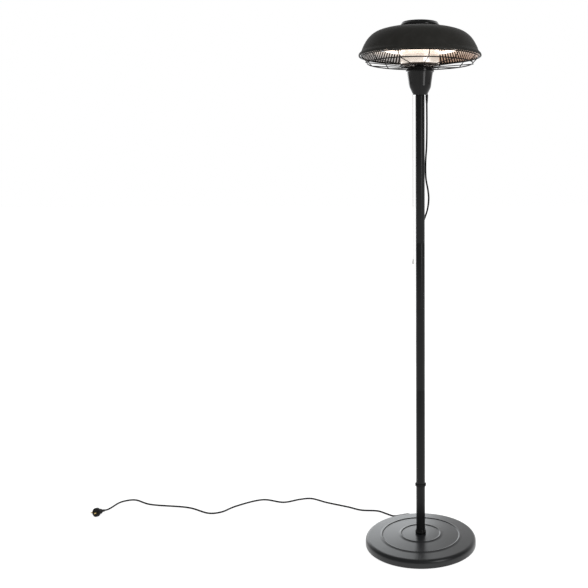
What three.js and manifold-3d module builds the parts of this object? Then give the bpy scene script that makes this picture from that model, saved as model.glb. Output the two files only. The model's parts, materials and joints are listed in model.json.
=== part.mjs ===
// Free-standing infrared patio heater: a round weighted base, a three-piece pole, a switch
// housing with a pull cord, and a domed head with a ring lamp, reflectors and a wire guard.
// Millimetres, +Z up, origin on the floor at the middle of the base. -Y is the front.
import * as THREE from 'three';
import { mergeVertices } from 'three/addons/utils/BufferGeometryUtils.js';
import Module from 'manifold-3d';

const wasm = await Module();
wasm.setup();

// ---------------------------------------------------------------- driving dimensions
const FIT = 0.3;                    // gap left between pieces that touch
const PAST = 1;                     // how far a joined or cutting shape runs past a face
const ROUND = 40;                   // facets of a large round piece
const SMALL_ROUND = 16;             // facets of a small round piece

// base
const FOOT_R = 14;
const FOOT_H = 4;
const FOOT_INSET = 40;               // from the edge of the base to the middle of a foot
const FOOT_COUNT = 4;
const BASE_R = 225;
const BASE_EDGE_H = 19;             // height where the straight edge turns into the shoulder
const SHOULDER_W = 14;              // of the rounded edge, seen from above
const SHOULDER_H = 36;
const CROWN_R = 30;                 // flat middle of the base that the pole stands on
const CROWN_H = 46;
const COVER_WALL = 3;
const BEAD_INSETS = [66, 144];      // of the two raised rings pressed into the cover, from its edge
const BEAD_W = 8;
const BEAD_H = 2;
const PLATE_T = 2;
const WEIGHT_GAP = 6;               // between the weight and the shoulder of the cover
const WEIGHT_STEPS_FROM_EDGE = [75, 135]; // where the weight's top bends, from the edge of the base
const POCKET_R = 20;                // pocket under the weight for the bolt head
const POCKET_H = 8;
const BOLT_R = 5;
const BOLT_HEAD_R = 9.8;
const BOLT_HEAD_H = 6.5;
const BOLT_GRIP = 22;               // how far the bolt reaches into the foot of the pole
const BOLT_FLANGE_R = 14;
const BOLT_FLANGE_T = 2.5;
const PLATE_SCREW_R = 2;
const PLATE_SCREW_HEAD_R = 4.2;
const PLATE_SCREW_HEAD_H = 1.8;
const PLATE_SCREW_L = 12;
const PLATE_SCREW_CIRCLE_R = 120;
const PLATE_SCREW_COUNT = 3;

// pole
const POLE_R = 18;
const POLE_WALL = 1.5;
const POLE_L = 1786.7;               // all three sections, from the base to the head
const POLE_SECTIONS = 3;
const COUPLER_L = 80;
const COUPLER_WALL = 2;
const FOOT_NUT_L = 26;
const FOOT_COLLAR_R = 21.7;
const FOOT_COLLAR_H = 16;
const ADAPTER_L = 34;
const ADAPTER_FLOOR = 2;
const ADAPTER_FLANGE_R = 22;
const ADAPTER_FLANGE_T = 4;

// stem inside the head
const STEM_R = 11;
const STEM_WALL = 1.5;

// switch housing between the pole and the head
const NECK_H = 100;
const NECK_SEAT_H = 14;             // solid ring at the bottom that grips the pole
const NECK_WALL = 2.6;
const NECK_BOTTOM_R = 27;
const NECK_MID_R = 43;
const NECK_TOP_R = 55;
const NECK_SEAM = 0.5;              // open line between the two halves
const NECK_LIP_H = 10;
const NECK_LID_T = 3.4;
const NECK_SCREW_R = 2;
const NECK_SCREW_HEAD_R = 3.8;
const NECK_SCREW_HEAD_H = 2.4;
const NECK_SCREW_HEIGHTS = [50, 80];
const NECK_SCREW_Y = 25;
const NECK_BOSS_R = 4.6;
const NECK_BOSS_L = 11;

// pull switch inside the housing
const SWITCH_SIZE = new THREE.Vector3(15, 22, 24);
const WHEEL_R = 7;                  // bottom of the groove that the pull cord lies in
const WHEEL_FLANGE_R = 9;
const WHEEL_W = 5;
const WHEEL_PIN_R = 2;
const WHEEL_PIN_HEAD_R = 4.2;
const WHEEL_H = 12;                 // axis of the wheel above the bottom of the switch
const SPRING_R = 3.4;
const SPRING_WIRE_R = 0.4;
const SPRING_TURNS = 3;
const SPRING_PITCH = 1.5;
const STRING_R = 0.9;
const STRING_L = 672;
const BUSH_R = 3;
const BUSH_L = 14;
const KNOB_R = 4.2;
const KNOB_H = 23;

// other parts inside the housing
const TERMINAL_SIZE = new THREE.Vector3(17, 18, 20);
const TILT_SIZE = new THREE.Vector3(16, 15, 22);

// head
const HEAD_RISE = 48;               // from the top of the housing to the rim of the hood
const HOOD_R = 240;
const HOOD_H = 113;
const HOOD_WALL = 1.5;
const HOOD_FLAT_R = 60;
// Side of the hood as shares of its radius and height, from the rolled rim to the crown.
const HOOD_SHAPE = [
  [0.996, 0.0], [1.0, 0.03], [0.992, 0.09], [0.956, 0.175], [0.93, 0.31], [0.893, 0.46],
  [0.844, 0.61], [0.776, 0.745], [0.69, 0.845], [0.56, 0.925], [0.4, 0.975],
];
const SLEEVE_WALL = 3;              // of the drum's centre sleeve and the spacer above it
const NUT_R = 16;
const NUT_H = 8;
const NUT_THREAD = 2;               // how far the stem stands out of the nut
const NUT_FLANGE_R = 20;
const NUT_FLANGE_T = 2;
const CAP_R = 77;
const CAP_TOP_R = 67;
const CAP_WALL = 2;
const CAP_VENT = 4;                 // open gap under the edge of the cap
const CAP_H = 16;                   // skirt and top of the cap
const CAP_POST_R = 3.5;
const CAP_POST_CIRCLE_R = 48;
const CAP_POSTS = 3;
const DISH_WALL = 1.2;
const DISH_DROP = 17;               // from the top of the hood to the top of the dish
const DISH_GAP = 5;                 // between the inside of the hood and the dish's side
const DISH_EDGE_DROP = 41;          // from the top of the dish to its edge
const FLUTES = 112;
const FLUTE_DEPTH = 4;
const SKIRT_WALL = 1;
const SKIRT_INSET = 6;              // from the hood's radius to the skirt's bottom edge
const SKIRT_RISE = 2.5;             // from the rim of the hood to the bottom of the skirt
const DRUM_R = 75;
const DRUM_WALL = 1.2;
const DRUM_HANG = 30;               // from the rim of the hood down to the drum's bottom
const DRUM_CORNER = 5;

// lamp
const LAMP_RING_R = 140;
const LAMP_R = 6;
const LAMP_WALL = 1.2;
const LAMP_RISE = 32;               // from the rim of the hood to the middle of the tube
const LAMP_GAP_DEG = 24;            // open part of the ring, at the back
const LAMP_STEPS = 30;
const FILAMENT_R = 1.6;
const SOCKET_SIZE = new THREE.Vector3(20, 18, 22);
const CLIP_COUNT = 2;
const CLIP_W = 10;
const CLIP_T = 1.5;
const CLIP_LIP_H = 8;
const CLIP_TAB_H = 14;
const LAMP_BRACKET_W = 76;

// wire guard
const RIM_WIRE_R = 2.25;
const RIM_WIRE_INSET = 11;          // from the hood's radius to the guard's rim ring
const RIM_WIRE_DROP = 1;            // below the rim of the hood
const GUARD_RING_INSET = 34;        // from the hood's radius to the guard's outer ring
const GUARD_RING_DROP = 25;         // below the rim of the hood
const GUARD_INNER_RINGS = [78, 32];
const GUARD_WIRE_R = 1.75;
const GUARD_WIRES = 12;
const GUARD_WIRE_PHASE_DEG = 9;     // first wire, to the right of the front
const HUB_R = 15;
const HUB_FLANGE_R = 50;
const HUB_FLANGE_T = 5;
const HUB_FLANGE_RISE = 7;          // from the top of the housing's lid to the flange
const GUARD_CLIPS = 3;
const GUARD_CLIP_W = 12;
const GUARD_CLIP_T = 1.2;
const GUARD_CLIP_H = 12;

// mains cord
const CORD_R = 3.5;
const CORD_X = 26.5;
const CORD_Y = 6;
const RELIEF_PLUG_R = 4.8;
const RELIEF_TOP_R = 5.8;
const RELIEF_TIP_R = 4.4;
const RELIEF_L = 30;
const CLIP_RING_R = 22;
const CLIP_RING_H = 9;
const CLIP_RING_Z = 245;
const CORD_LUG_R = 6;
const PLUG_R = 19;
const PLUG_FACE_L = 13;
const PLUG_GRIP_R = 12;
const PLUG_L = 56;
const PLUG_TAIL_R = 5;
const PIN_R = 2.4;
const PIN_L = 19;
const PIN_PITCH = 19;

// ---------------------------------------------------------------- heights worked out
const rad = THREE.MathUtils.degToRad;
const coverInnerR = BASE_R - COVER_WALL;
const shoulderR = BASE_R - SHOULDER_W;
const plateZ = FOOT_H + FIT;
const weightZ = plateZ + PLATE_T + FIT;
const poleZ = CROWN_H + FIT;
const poleTopZ = poleZ + POLE_L;
const sectionL = POLE_L / POLE_SECTIONS;
const poleBoreR = POLE_R - POLE_WALL;
const adapterFlangeZ = poleTopZ + FIT;
const housingFloorZ = adapterFlangeZ + ADAPTER_FLANGE_T + FIT;
const neckZ = poleTopZ - NECK_SEAT_H;
const neckTopZ = neckZ + NECK_H;
const lidZ = neckTopZ - NECK_LIP_H + FIT;
const lidTopZ = lidZ + NECK_LID_T;
const rimZ = neckTopZ + HEAD_RISE;
const hoodTopZ = rimZ + HOOD_H;
const hoodUnderZ = hoodTopZ - HOOD_WALL;
const dishTopZ = hoodTopZ - DISH_DROP;
const dishUnderZ = dishTopZ - DISH_WALL;
const dishEdgeZ = dishTopZ - DISH_EDGE_DROP;
const drumZ = rimZ - DRUM_HANG;
const lampZ = rimZ + LAMP_RISE;
const hoodInner = inset(hoodSide(), HOOD_WALL);
const dishEdgeR = radiusAt(hoodInner, dishEdgeZ) - DISH_GAP;
const skirtBottomR = HOOD_R - SKIRT_INSET;
const rimWireRingR = HOOD_R - RIM_WIRE_INSET;
const guardRingR = HOOD_R - GUARD_RING_INSET;
const hubFlangeZ = lidTopZ + HUB_FLANGE_RISE;
const nutZ = hoodTopZ + FIT;
const stemTopZ = nutZ + NUT_H + NUT_THREAD;
const capZ = hoodTopZ + CAP_VENT;
const capTopZ = capZ + CAP_H;

// ---------------------------------------------------------------- materials
function finish(color, roughness, metalness) {
  return new THREE.MeshStandardMaterial({ color, roughness, metalness });
}
const blackPaint = finish(0x262625, 0.62, 0.2);
const satinPaint = finish(0x2c2d2e, 0.42, 0.3);
const glossBlack = finish(0x161616, 0.16, 0.0);
const blackRubber = finish(0x1b1b1b, 0.7, 0.0);
const cordRubber = finish(0x141414, 0.5, 0.0);
const polished = finish(0xcfcac4, 0.2, 0.95);
const zinc = finish(0xa9abad, 0.4, 0.85);
const wireSteel = finish(0x3a3937, 0.4, 0.6);
const cement = finish(0x8b8984, 0.9, 0.0);
const whiteCeramic = finish(0xe9e6df, 0.5, 0.0);
const quartz = finish(0xffd9b0, 0.08, 0.0);
const tungsten = finish(0xffb066, 0.5, 0.3);
const grayPlastic = finish(0x55585a, 0.5, 0.0);
const palePlastic = finish(0xcdcdc9, 0.4, 0.0);
const whiteString = finish(0xdedcd6, 0.8, 0.0);
const brass = finish(0xb8974e, 0.3, 0.9);

const heater = new THREE.Group();

function add(name, geometry, material, parent = heater) {
  const mesh = new THREE.Mesh(geometry, material);
  mesh.name = name;
  parent.add(mesh);
  return mesh;
}

// ---------------------------------------------------------------- geometry helpers
// One closed mesh: shared corners merged and empty triangles left out.
function closed(source) {
  const bare = source.clone();
  bare.deleteAttribute('normal');
  bare.deleteAttribute('uv');
  const merged = mergeVertices(bare, 1e-4);
  const kept = [];
  const index = merged.index.array;
  for (let i = 0; i < index.length; i += 3) {
    const [a, b, c] = [index[i], index[i + 1], index[i + 2]];
    if (a !== b && b !== c && c !== a) kept.push(a, b, c);
  }
  merged.setIndex(kept);
  merged.computeVertexNormals();
  return merged;
}

function toSolid(geometry) {
  const mesh = closed(geometry);
  return new wasm.Manifold(new wasm.Mesh({
    numProp: 3,
    vertProperties: new Float32Array(mesh.attributes.position.array),
    triVerts: new Uint32Array(mesh.index.array),
  }));
}

function toGeometry(solid) {
  const mesh = solid.getMesh();
  const geometry = new THREE.BufferGeometry();
  geometry.setAttribute('position', new THREE.BufferAttribute(new Float32Array(mesh.vertProperties), 3));
  geometry.setIndex([...mesh.triVerts]);
  return closed(geometry);
}

function cut(geometry, ...tools) {
  return toGeometry(tools.reduce((solid, tool) => solid.subtract(toSolid(tool)), toSolid(geometry)));
}

function join(...pieces) {
  return toGeometry(pieces.map(toSolid).reduce((solid, piece) => solid.add(piece)));
}

function keep(geometry, box) {
  return toGeometry(toSolid(geometry).intersect(toSolid(box)));
}

function outlineArea(outline) {
  return outline.reduce((sum, [r, z], i) => {
    const [nextR, nextZ] = outline[(i + 1) % outline.length];
    return sum + (r * nextZ - nextR * z) / 2;
  }, 0);
}

// An outline of [radius, height] points turned around Z. It either starts and ends on the
// axis or is closed here.
function revolve(outline, segments = ROUND) {
  const points = outlineArea(outline) > 0 ? [...outline] : [...outline].reverse();
  const onAxis = points.some(([r]) => r === 0);
  if (onAxis) {
    while (points[0][0] !== 0 || points[points.length - 1][0] !== 0) points.push(points.shift());
  } else {
    points.push(points[0]);
  }
  const lathe = new THREE.LatheGeometry(points.map(([r, z]) => new THREE.Vector2(r, z)), segments);
  return closed(lathe.rotateX(Math.PI / 2));
}

function tube(outerR, innerR, z, length, segments = ROUND) {
  return revolve([[innerR, z], [outerR, z], [outerR, z + length], [innerR, z + length]], segments);
}

function disc(radius, z, length, segments = SMALL_ROUND) {
  return revolve([[0, z], [radius, z], [radius, z + length], [0, z + length]], segments);
}

function box(size, center) {
  return new THREE.BoxGeometry(size.x, size.y, size.z).translate(center.x, center.y, center.z);
}

// A cylinder from one point to another.
function rod(from, to, radius, sides) {
  const along = new THREE.Vector3().subVectors(to, from);
  const middle = new THREE.Vector3().addVectors(from, to).multiplyScalar(0.5);
  const turn = new THREE.Quaternion().setFromUnitVectors(new THREE.Vector3(0, 1, 0), along.clone().normalize());
  return new THREE.CylinderGeometry(radius, radius, along.length(), sides)
    .applyQuaternion(turn).translate(middle.x, middle.y, middle.z);
}

function wireRing(ringR, z, wireR, segments = 36, sides = 5) {
  const outline = [];
  for (let i = 0; i < sides; i += 1) {
    const angle = (2 * Math.PI * (i + 0.5)) / sides;
    outline.push([ringR + wireR * Math.cos(angle), z + wireR * Math.sin(angle)]);
  }
  return revolve(outline, segments);
}

function circleShape(radius, sides) {
  const shape = new THREE.Shape();
  for (let i = 0; i < sides; i += 1) {
    const angle = (2 * Math.PI * i) / sides;
    const point = [radius * Math.cos(angle), radius * Math.sin(angle)];
    if (i === 0) shape.moveTo(...point);
    else shape.lineTo(...point);
  }
  shape.closePath();
  return shape;
}

function sweep(shape, curve, steps) {
  return closed(new THREE.ExtrudeGeometry(shape, { steps, extrudePath: curve, bevelEnabled: false }));
}

// A flat outline in the plane of radius and height, given a width across it.
function bracket(outline, width) {
  const shape = new THREE.Shape(outline.map(([r, z]) => new THREE.Vector2(r, z)));
  const plate = new THREE.ExtrudeGeometry(shape, { depth: width, bevelEnabled: false });
  return closed(plate.translate(0, 0, -width / 2).rotateX(Math.PI / 2));
}

function polar(radius, degrees, z = 0) {
  return new THREE.Vector3(radius * Math.cos(rad(degrees)), radius * Math.sin(rad(degrees)), z);
}

// Radius of an outline's side at a height, between its points.
function radiusAt(side, z) {
  for (let i = 1; i < side.length; i += 1) {
    const [r0, z0] = side[i - 1];
    const [r1, z1] = side[i];
    if (z >= Math.min(z0, z1) && z <= Math.max(z0, z1) && z0 !== z1) {
      return r0 + ((r1 - r0) * (z - z0)) / (z1 - z0);
    }
  }
  return side[side.length - 1][0];
}

// The side moved inwards by a wall thickness, square to the line through its neighbours.
function inset(side, wall) {
  return side.map(([r, z], i) => {
    const [r0, z0] = side[Math.max(i - 1, 0)];
    const [r1, z1] = side[Math.min(i + 1, side.length - 1)];
    const length = Math.hypot(r1 - r0, z1 - z0);
    return [r - (wall * (z1 - z0)) / length, z + (wall * (r1 - r0)) / length];
  });
}

// ---------------------------------------------------------------- base
function coverHeight(r) {
  const out = Math.max(r - CROWN_R, 0) / (shoulderR - CROWN_R);
  return CROWN_H - (CROWN_H - SHOULDER_H) * out ** 1.3;
}

function shoulder(inwards, steps) {
  const arc = [];
  for (let i = 0; i <= steps; i += 1) {
    const angle = (Math.PI / 2) * (i / steps);
    const outer = BASE_R - inwards;
    arc.push([
      shoulderR + (outer - shoulderR) * Math.cos(angle),
      BASE_EDGE_H + (SHOULDER_H - inwards - BASE_EDGE_H) * Math.sin(angle),
    ]);
  }
  return arc;
}

const underRadii = [...WEIGHT_STEPS_FROM_EDGE.map((inwards) => BASE_R - inwards), CROWN_R];

function buildBase() {
  const base = new THREE.Group();
  heater.add(base);
  const top = [];
  for (const r of BEAD_INSETS.map((inwards) => BASE_R - inwards)) {
    for (const [offset, rise] of [[BEAD_W / 2, 0], [BEAD_W / 4, BEAD_H], [-BEAD_W / 4, BEAD_H], [-BEAD_W / 2, 0]]) {
      top.push([r + offset, coverHeight(r + offset) + rise]);
    }
  }
  const holeR = BOLT_R + FIT;
  const under = underRadii.map((r) => [r, coverHeight(r) - COVER_WALL]);
  add('base_cover', revolve([
    [coverInnerR, FOOT_H], [BASE_R - 1, FOOT_H], [BASE_R, FOOT_H + 2],
    ...shoulder(0, 4), ...top, [CROWN_R, CROWN_H], [holeR, CROWN_H],
    [holeR, CROWN_H - COVER_WALL], ...under.reverse(), ...shoulder(COVER_WALL, 3).reverse(),
  ]), satinPaint, base);

  const screwAngles = Array.from({ length: PLATE_SCREW_COUNT }, (_, i) => 90 + (360 * i) / PLATE_SCREW_COUNT);
  const screwHoles = screwAngles.map((angle) => {
    const place = polar(PLATE_SCREW_CIRCLE_R, angle);
    return disc(PLATE_SCREW_R + FIT, 0, plateZ + PLATE_SCREW_L + PAST, 12).translate(place.x, place.y, 0);
  });
  add('base_plate', cut(tube(coverInnerR - 1, POCKET_R, plateZ, PLATE_T, 40), ...screwHoles), zinc, base);

  const weightR = shoulderR - WEIGHT_GAP;
  const pocketZ = weightZ + POCKET_H;
  const weight = revolve([
    [POCKET_R, weightZ], [weightR, weightZ], [weightR, coverHeight(weightR) - COVER_WALL - FIT],
    ...underRadii.map((r) => [r, coverHeight(r) - COVER_WALL - FIT]),
    [holeR, CROWN_H - COVER_WALL - FIT], [holeR, pocketZ], [POCKET_R, pocketZ],
  ], 40);
  add('base_weight', cut(weight, ...screwHoles), cement, base);

  for (let i = 0; i < FOOT_COUNT; i += 1) {
    const foot = revolve([
      [0, 0], [FOOT_R - 1, 0], [FOOT_R, 1], [FOOT_R, FOOT_H - 1], [FOOT_R - 1, FOOT_H], [0, FOOT_H],
    ], SMALL_ROUND);
    add(`base_foot_${i + 1}`, foot, blackRubber, base).position.copy(polar(BASE_R - FOOT_INSET, 45 + (360 * i) / FOOT_COUNT));
  }
  screwAngles.forEach((angle, i) => {
    const headZ = plateZ - FIT - PLATE_SCREW_HEAD_H;
    const screw = revolve([
      [0, headZ], [PLATE_SCREW_HEAD_R - 1, headZ], [PLATE_SCREW_HEAD_R, headZ + 1],
      [PLATE_SCREW_HEAD_R, plateZ - FIT], [PLATE_SCREW_R, plateZ - FIT],
      [PLATE_SCREW_R, plateZ + PLATE_SCREW_L], [0, plateZ + PLATE_SCREW_L],
    ], 12);
    add(`base_plate_screw_${i + 1}`, screw, zinc, base).position.copy(polar(PLATE_SCREW_CIRCLE_R, angle));
  });

  const flangeZ = pocketZ - FIT - BOLT_FLANGE_T;
  add('base_bolt', join(
    disc(BOLT_HEAD_R, flangeZ - BOLT_HEAD_H, BOLT_HEAD_H + PAST, 6),
    disc(BOLT_FLANGE_R, flangeZ, BOLT_FLANGE_T),
    disc(BOLT_R, flangeZ + PAST, poleZ + BOLT_GRIP - flangeZ - PAST, 16),
  ), zinc, base);
}

// ---------------------------------------------------------------- pole
function buildPole() {
  const names = ['pole_tube_lower', 'pole_tube_middle', 'pole_tube_upper'];
  names.forEach((name, i) => {
    const start = poleZ + i * sectionL + (i > 0 ? FIT : 0);
    add(name, tube(POLE_R, poleBoreR, start, poleZ + (i + 1) * sectionL - start, 32), satinPaint);
  });
  const couplerR = poleBoreR - FIT;
  ['pole_coupler_lower', 'pole_coupler_upper'].forEach((name, i) => {
    const jointZ = poleZ + (i + 1) * sectionL;
    add(name, tube(couplerR, couplerR - COUPLER_WALL, jointZ - COUPLER_L / 2, COUPLER_L, 24), zinc);
  });
  add('pole_foot_nut', tube(couplerR, BOLT_R + FIT, poleZ, FOOT_NUT_L, 24), zinc);
  add('pole_foot_collar', revolve([
    [POLE_R + FIT, poleZ], [FOOT_COLLAR_R, poleZ], [FOOT_COLLAR_R, poleZ + FOOT_COLLAR_H * 0.7],
    [POLE_R + FIT + 1, poleZ + FOOT_COLLAR_H], [POLE_R + FIT, poleZ + FOOT_COLLAR_H],
  ], 24), glossBlack);

  const boreR = STEM_R + FIT;
  const plugZ = poleTopZ - ADAPTER_L;
  add('pole_adapter', revolve([
    [0, plugZ], [couplerR, plugZ], [couplerR, adapterFlangeZ], [ADAPTER_FLANGE_R, adapterFlangeZ],
    [ADAPTER_FLANGE_R, adapterFlangeZ + ADAPTER_FLANGE_T], [boreR, adapterFlangeZ + ADAPTER_FLANGE_T],
    [boreR, plugZ + ADAPTER_FLOOR], [0, plugZ + ADAPTER_FLOOR],
  ], 24), zinc);
  const stemZ = plugZ + ADAPTER_FLOOR + FIT;
  add('stem_tube', tube(STEM_R, STEM_R - STEM_WALL, stemZ, stemTopZ - stemZ, 24), zinc);
}

// ---------------------------------------------------------------- switch housing
function neckSide() {
  return [
    [NECK_BOTTOM_R, neckZ],
    [NECK_BOTTOM_R + (NECK_MID_R - NECK_BOTTOM_R) * 0.42, neckZ + NECK_H * 0.12],
    [NECK_BOTTOM_R + (NECK_MID_R - NECK_BOTTOM_R) * 0.82, neckZ + NECK_H * 0.25],
    [NECK_MID_R, neckZ + NECK_H * 0.36],
    [NECK_MID_R + (NECK_TOP_R - NECK_MID_R) * 0.25, neckZ + NECK_H * 0.58],
    [NECK_MID_R + (NECK_TOP_R - NECK_MID_R) * 0.62, neckTopZ - NECK_LIP_H - 4],
    [NECK_TOP_R - 1, neckTopZ - NECK_LIP_H],
    [NECK_TOP_R, neckTopZ - NECK_LIP_H + 2],
    [NECK_TOP_R, neckTopZ - 2],
    [NECK_TOP_R - 1.5, neckTopZ],
  ];
}

const lidR = NECK_TOP_R - NECK_WALL - FIT;

function neckBody() {
  const side = neckSide();
  const wall = inset(side, NECK_WALL);
  const seatZ = neckZ + NECK_SEAT_H;
  const ledgeZ = neckTopZ - NECK_LIP_H;
  const inner = wall.filter(([, z]) => z > seatZ + 4 && z < ledgeZ - 3);
  return revolve([
    [POLE_R + FIT, neckZ], ...side, [lidR + FIT, neckTopZ], [lidR + FIT, ledgeZ],
    [inner[inner.length - 1][0], ledgeZ], ...inner.reverse(),
    [radiusAt(wall, seatZ), seatZ], [POLE_R + FIT, seatZ],
  ], 32);
}

// Everything on one side of the middle plane, half a seam away from it.
function halfSpace(sign) {
  const reach = 2 * NECK_TOP_R;
  const size = new THREE.Vector3(reach, 2 * reach, 2 * NECK_H);
  return box(size, new THREE.Vector3(sign * (reach / 2 + NECK_SEAM / 2), 0, neckZ + NECK_H / 2));
}

const switchX = -(STEM_R + 2 * FIT + SWITCH_SIZE.x / 2);
const switchFrontY = -SWITCH_SIZE.y / 2 - 3;
const wheelX = switchX - 1;
const wheelZ = housingFloorZ + WHEEL_H;
const wheelY = switchFrontY - FIT - WHEEL_W / 2;
const stringX = wheelX - WHEEL_R - FIT - STRING_R;

function buildNeck() {
  const cordHole = disc(RELIEF_PLUG_R + FIT, neckZ - 10, NECK_SEAT_H + 12, SMALL_ROUND).translate(CORD_X, CORD_Y, 0);
  const bushHole = disc(BUSH_R + FIT, neckZ - 10, BUSH_L + 20, SMALL_ROUND).translate(stringX, wheelY, 0);
  const screwPlaces = NECK_SCREW_HEIGHTS.map((height) => new THREE.Vector3(0, NECK_SCREW_Y, neckZ + height));
  const wall = inset(neckSide(), NECK_WALL);
  const body = neckBody();

  const bosses = { left: [], right: [] };
  const bores = [];
  const screws = [];
  for (const place of screwPlaces) {
    const wallX = Math.sqrt(radiusAt(wall, place.z) ** 2 - NECK_SCREW_Y ** 2);
    const outerX = Math.sqrt(radiusAt(neckSide(), place.z) ** 2 - NECK_SCREW_Y ** 2);
    const at = (x) => new THREE.Vector3(x, place.y, place.z);
    bosses.left.push(rod(at(-wallX - PAST), at(-NECK_SEAM / 2), NECK_BOSS_R, 16));
    bosses.right.push(rod(at(NECK_SEAM / 2), at(wallX + PAST), NECK_BOSS_R, 16));
    bores.push(rod(at(-NECK_BOSS_L), at(outerX + 20), NECK_SCREW_R + FIT, 12));
    bores.push(rod(at(wallX - 2), at(outerX + 20), NECK_SCREW_HEAD_R + FIT, 16));
    screws.push(join(
      rod(at(-NECK_BOSS_L + 2), at(wallX), NECK_SCREW_R, 12),
      rod(at(wallX - 2 + FIT), at(wallX - 2 + FIT + NECK_SCREW_HEAD_H), NECK_SCREW_HEAD_R, 16),
    ));
  }
  add('neck_shell_left', cut(join(keep(body, halfSpace(-1)), ...bosses.left), bushHole, ...bores), glossBlack);
  add('neck_shell_right', cut(join(keep(body, halfSpace(1)), ...bosses.right), cordHole, ...bores), glossBlack);
  screws.forEach((screw, i) => add(`neck_screw_${i + 1}`, screw, zinc));
  add('neck_lid', tube(lidR, STEM_R + FIT, lidZ, NECK_LID_T, 32), glossBlack);

  const reliefZ = neckZ + NECK_SEAT_H;
  add('cord_strain_relief', revolve([
    [0, neckZ - RELIEF_L], [RELIEF_TIP_R, neckZ - RELIEF_L], [RELIEF_TOP_R, neckZ - FIT - 3],
    [RELIEF_TOP_R, neckZ - FIT], [RELIEF_PLUG_R, neckZ - FIT], [RELIEF_PLUG_R, reliefZ], [0, reliefZ],
  ], SMALL_ROUND), cordRubber).position.set(CORD_X, CORD_Y, 0);

  const bushZ = neckZ + 8;
  add('pull_cord_bush', tube(BUSH_R, STRING_R + FIT, bushZ, BUSH_L, SMALL_ROUND), grayPlastic)
    .position.set(stringX, wheelY, 0);
}

// ---------------------------------------------------------------- switches and terminals
function buildSwitchgear() {
  const floor = housingFloorZ;
  const pinBackY = switchFrontY + 6;
  const springY = wheelY - WHEEL_W / 2 - FIT;
  const springL = SPRING_TURNS * SPRING_PITCH + 2 * SPRING_WIRE_R;
  const pinFrontY = springY - springL - FIT;
  const at = (y) => new THREE.Vector3(wheelX, y, wheelZ);

  const body = box(SWITCH_SIZE, new THREE.Vector3(switchX, switchFrontY + SWITCH_SIZE.y / 2, floor + SWITCH_SIZE.z / 2));
  add('pull_switch_body', cut(body, rod(at(switchFrontY - PAST), at(pinBackY + FIT), WHEEL_PIN_R + FIT, 16)), grayPlastic);
  add('switch_wheel_pin', join(
    rod(at(pinFrontY), at(pinBackY), WHEEL_PIN_R, 12),
    rod(at(pinFrontY - 1.5), at(pinFrontY + 0.01), WHEEL_PIN_HEAD_R, 16),
  ), zinc);
  const half = WHEEL_W / 2;
  add('switch_wheel', revolve([
    [WHEEL_PIN_R + FIT / 4, -half], [WHEEL_FLANGE_R, -half], [WHEEL_FLANGE_R, -half + 1],
    [WHEEL_R, -half + 1.5], [WHEEL_R, half - 1.5], [WHEEL_FLANGE_R, half - 1],
    [WHEEL_FLANGE_R, half], [WHEEL_PIN_R + FIT / 4, half],
  ], 24).rotateX(Math.PI / 2).translate(wheelX, wheelY, wheelZ), whiteCeramic);

  class Helix extends THREE.Curve {
    getPoint(t, target = new THREE.Vector3()) {
      const angle = 2 * Math.PI * SPRING_TURNS * t;
      return target.set(
        wheelX + SPRING_R * Math.cos(angle),
        springY - SPRING_WIRE_R - SPRING_TURNS * SPRING_PITCH * t,
        wheelZ + SPRING_R * Math.sin(angle),
      );
    }
  }
  add('switch_return_spring', sweep(circleShape(SPRING_WIRE_R, 5), new Helix(), 10 * SPRING_TURNS), zinc);

  const terminalX = STEM_R + 2 * FIT + TERMINAL_SIZE.x / 2;
  const terminal = box(TERMINAL_SIZE, new THREE.Vector3(terminalX, 0, floor + TERMINAL_SIZE.z / 2));
  const slots = [-6, 0, 6].map((y) => box(
    new THREE.Vector3(9, 3.5, 9),
    new THREE.Vector3(terminalX, y, floor + TERMINAL_SIZE.z),
  ));
  add('terminal_block', cut(terminal, ...slots), whiteCeramic);
  const tiltY = STEM_R + 2 * FIT + TILT_SIZE.y / 2;
  add('tilt_switch', box(TILT_SIZE, new THREE.Vector3(0, tiltY, floor + TILT_SIZE.z / 2)), grayPlastic);

  const string = new THREE.LineCurve3(
    new THREE.Vector3(stringX, wheelY, wheelZ - STRING_L),
    new THREE.Vector3(stringX, wheelY, wheelZ),
  );
  add('pull_string', sweep(circleShape(STRING_R, 8), string, 1), whiteString);
  const knobTopZ = wheelZ - STRING_L - FIT;
  add('pull_knob', revolve([
    [0, knobTopZ - KNOB_H], [KNOB_R * 0.7, knobTopZ - KNOB_H], [KNOB_R, knobTopZ - KNOB_H + 3],
    [KNOB_R * 0.85, knobTopZ - KNOB_H * 0.5], [KNOB_R * 0.45, knobTopZ - 2], [KNOB_R * 0.3, knobTopZ], [0, knobTopZ],
  ], SMALL_ROUND), palePlastic).position.set(stringX, wheelY, 0);
}

// ---------------------------------------------------------------- head
function hoodSide() {
  return [
    ...HOOD_SHAPE.map(([r, z]) => [r * HOOD_R, rimZ + z * HOOD_H]),
    [HOOD_FLAT_R, hoodTopZ],
  ];
}

// The dish follows the inside of the hood at a distance, up to its flat top.
function dishSide() {
  const steps = 5;
  return Array.from({ length: steps + 1 }, (_, i) => {
    const z = dishEdgeZ + (DISH_EDGE_DROP * i) / steps;
    return [radiusAt(hoodInner, z) - DISH_GAP, z];
  });
}

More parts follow.
